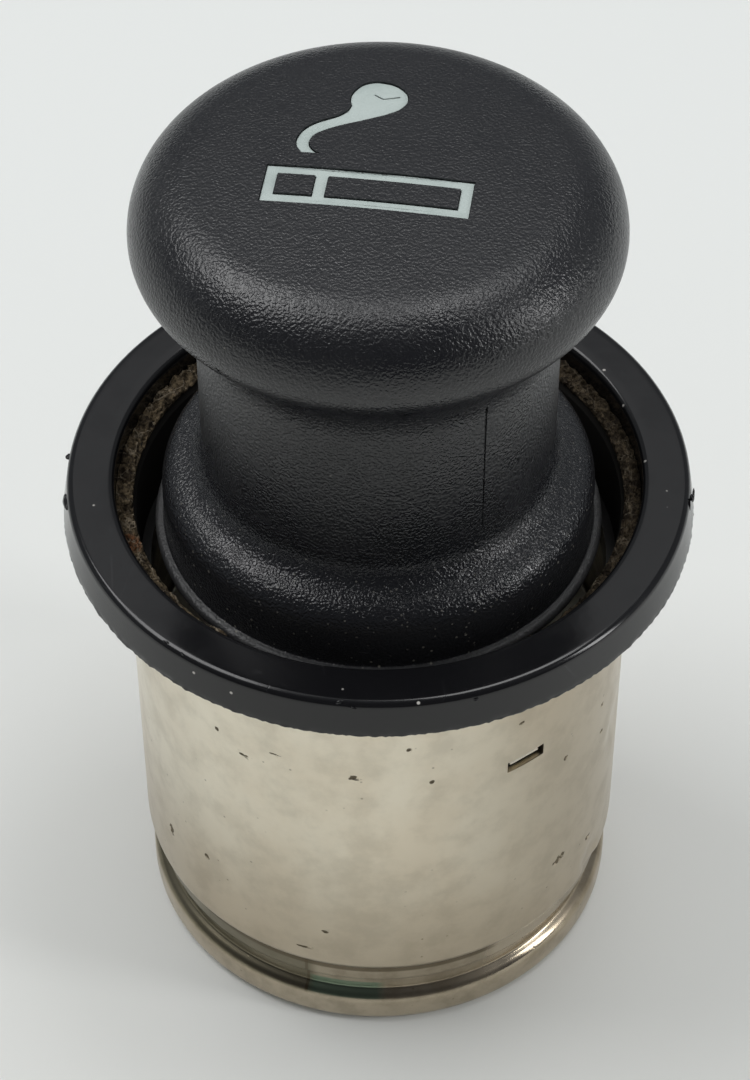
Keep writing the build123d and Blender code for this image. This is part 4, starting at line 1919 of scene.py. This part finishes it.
@dataclass(frozen=True)
class InnerParts:
    """Finishes of the inner pieces that keep their solids."""

    # The shell is painted dark above 18.5 mm: dirt and painted shade in the gap round the knob.
    shell: SheetMetal = SheetMetal("zinc plated shell with painted shade", (0.42, 0.4, 0.34), (0.3, 0.27, 0.21), 0.38, 18.5)
    steel: SheetMetal = SheetMetal("turned steel", (0.52, 0.51, 0.49), (0.4, 0.38, 0.34), 0.33)
    heater: SheetMetal = SheetMetal("heat tinted cup", (0.4, 0.34, 0.28), (0.2, 0.19, 0.24), 0.36)
    brass: SheetMetal = SheetMetal("turned brass", (0.72, 0.53, 0.24), (0.6, 0.42, 0.18), 0.3)
    ribbon: SheetMetal = SheetMetal("oxidised ribbon", (0.2, 0.17, 0.15), (0.12, 0.11, 0.12), 0.5)
    ceramic: DullMineral = DullMineral("bare ceramic", (0.72, 0.7, 0.64), (0.6, 0.57, 0.5), 0.65)
    mica: DullMineral = DullMineral("pressed mica", (0.34, 0.27, 0.17), (0.44, 0.36, 0.24), 0.4)

    def dress(self, nodes: dict[str, Piece]) -> None:
        """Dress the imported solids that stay.

        Args:
            nodes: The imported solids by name.
        """
        plan = {
            self.shell: ("heat_shield", "spring_cup"),
            self.steel: ("stud", "stop_washer", "contact_rivet", "spring_washer"),
            self.heater: ("heater_cup",),
            self.brass: ("knob_insert",),
            self.ribbon: ("heating_coil",),
            self.ceramic: ("insulator", "ceramic_bush"),
            self.mica: ("mica_disc",),
        }
        for finish, names in plan.items():
            material = finish.material()
            for name in names:
                dress(nodes[name], material)
                LOG.info("%s keeps its solid and gets %s", name, finish.name)


@dataclass(frozen=True)
class SoftPanel:
    """A soft light with its long side level, in metres and watts."""

    name: str
    place: Triple
    aim: Triple
    length: float
    width: float
    watts: float

    def build(self) -> None:
        """Add the light."""
        lamp = bpy.data.lights.new(self.name, "AREA")
        lamp.shape = "RECTANGLE"
        lamp.size = self.length
        lamp.size_y = self.width
        lamp.energy = self.watts
        holder = bpy.data.objects.new(self.name, lamp)
        holder.location = self.place
        look = Vector(self.aim) - Vector(self.place)
        holder.rotation_euler = look.to_track_quat("-Z", "Y").to_euler()
        bpy.context.scene.collection.objects.link(holder)


@dataclass
class Studio:
    """Pale floor, soft light and the camera at the photograph's angle."""

    floor_size: float = 4.0
    # The floor is painted darker towards the front, as shade.
    floor_back: Colour = (0.755, 0.77, 0.76)
    shaded_floor_front: Colour = (0.735, 0.74, 0.715)
    floor_fade: float = 0.06
    floor_roughness: float = 0.55
    floor_specular: float = 0.3
    horizon: Colour = (0.76, 0.775, 0.77)
    backdrop: Colour = (0.2, 0.21, 0.22)
    shaded_front: Colour = (0.05, 0.05, 0.055)
    shaded_span: Flat = (-0.7, 0.1)
    room: Colour = (0.4, 0.41, 0.41)
    camera_place: Triple = (0.0, -89.24, 114.06)
    camera_aim: Triple = (-0.15, 0.0, 19.79)
    camera_roll: float = -0.16
    camera_lens: float = 104.88
    camera_sensor: float = 36.0
    camera_near: float = 0.01
    panels: tuple[SoftPanel, ...] = (
        SoftPanel("left_window", (-0.25, 0.08, 0.46), (0.0, 0.0, 0.02), 0.3, 0.28, 1.1),
        SoftPanel("right_overhead", (0.13, 0.07, 0.5), (0.0, 0.0, 0.02), 0.2, 0.2, 0.5),
        SoftPanel("right_side", (0.43, -0.12, 0.22), (0.0, 0.0, 0.01), 0.09, 0.26, 0.6),
        SoftPanel("back_panel", (0.02, 0.3, 0.6), (0.0, 0.05, 0.0), 0.5, 0.5, 0.35),
    )

    def floor(self) -> None:
        """Lay the floor, painted darker towards the front as shade."""
        clear_selection()
        bpy.ops.mesh.primitive_grid_add(x_subdivisions=8, y_subdivisions=8, size=self.floor_size)
        floor = name_piece(bpy.context.object, "floor")
        shine = {"Roughness": self.floor_roughness, "Specular_IOR_Level": self.floor_specular}
        sheet = MaterialSheet("pale table", **shine)
        far = sheet.remap(sheet.split(sheet.place())["Y"], -self.floor_fade, self.floor_fade)
        sheet.feed("Base Color", sheet.blend(far, self.shaded_floor_front, self.floor_back))
        dress(floor, sheet.material)

    def world(self) -> None:
        """Light the room plainly, and show the pale backdrop to the camera and in reflections."""
        world = bpy.data.worlds.new("room")
        world.use_nodes = True
        bpy.context.scene.world = world
        sheet = NodeSheet(world.node_tree)
        rays = sheet.add("ShaderNodeLightPath").outputs
        direct = sheet.most(*(rays[ray.value] for ray in (Ray.CAMERA, Ray.TRANSMISSION)))
        sight = sheet.add("ShaderNodeTexCoord").outputs["Generated"]
        behind = sheet.remap(sheet.split(sight)["Y"], *self.shaded_span)
        mirrored = sheet.blend(behind, self.shaded_front, self.backdrop)
        light = sheet.blend(rays[Ray.GLOSSY.value], self.room, mirrored)
        background = world.node_tree.nodes["Background"]
        world.node_tree.links.new(sheet.blend(direct, light, self.horizon), background.inputs["Color"])
        background.inputs["Strength"].default_value = 1.0

    def camera(self) -> None:
        """Set the camera up."""
        data = bpy.data.cameras.new("photo_camera")
        data.lens = self.camera_lens
        data.sensor_width = self.camera_sensor
        data.clip_start = self.camera_near
        place, aim = Vector(self.camera_place) * MM, Vector(self.camera_aim) * MM
        look = (aim - place).to_track_quat("-Z", "Y").to_matrix().to_4x4()
        camera = bpy.data.objects.new("photo_camera", data)
        roll = Matrix.Rotation(radians(self.camera_roll), 4, "Z")
        camera.matrix_world = Matrix.Translation(place) @ look @ roll
        bpy.context.scene.collection.objects.link(camera)
        bpy.context.scene.camera = camera

    def build(self) -> None:
        """Set the whole stage."""
        self.floor()
        self.world()
        self.camera()
        for panel in self.panels:
            panel.build()
        bpy.context.scene.view_settings.view_transform = "Standard"


def main() -> None:
    """Build the pieces in order, dress them and set the stage."""
    logging.basicConfig(level=logging.INFO, format="%(name)s: %(message)s")
    build_effects()
    for assembly in (Sleeve(), TrimRing(), LedgeDirt(), Knob(), ReturnSpring()):
        assembly.dress(assembly.build())
    InnerParts().dress(frame["nodes"])
    Studio().build()


if __name__ == "__main__":
    main()
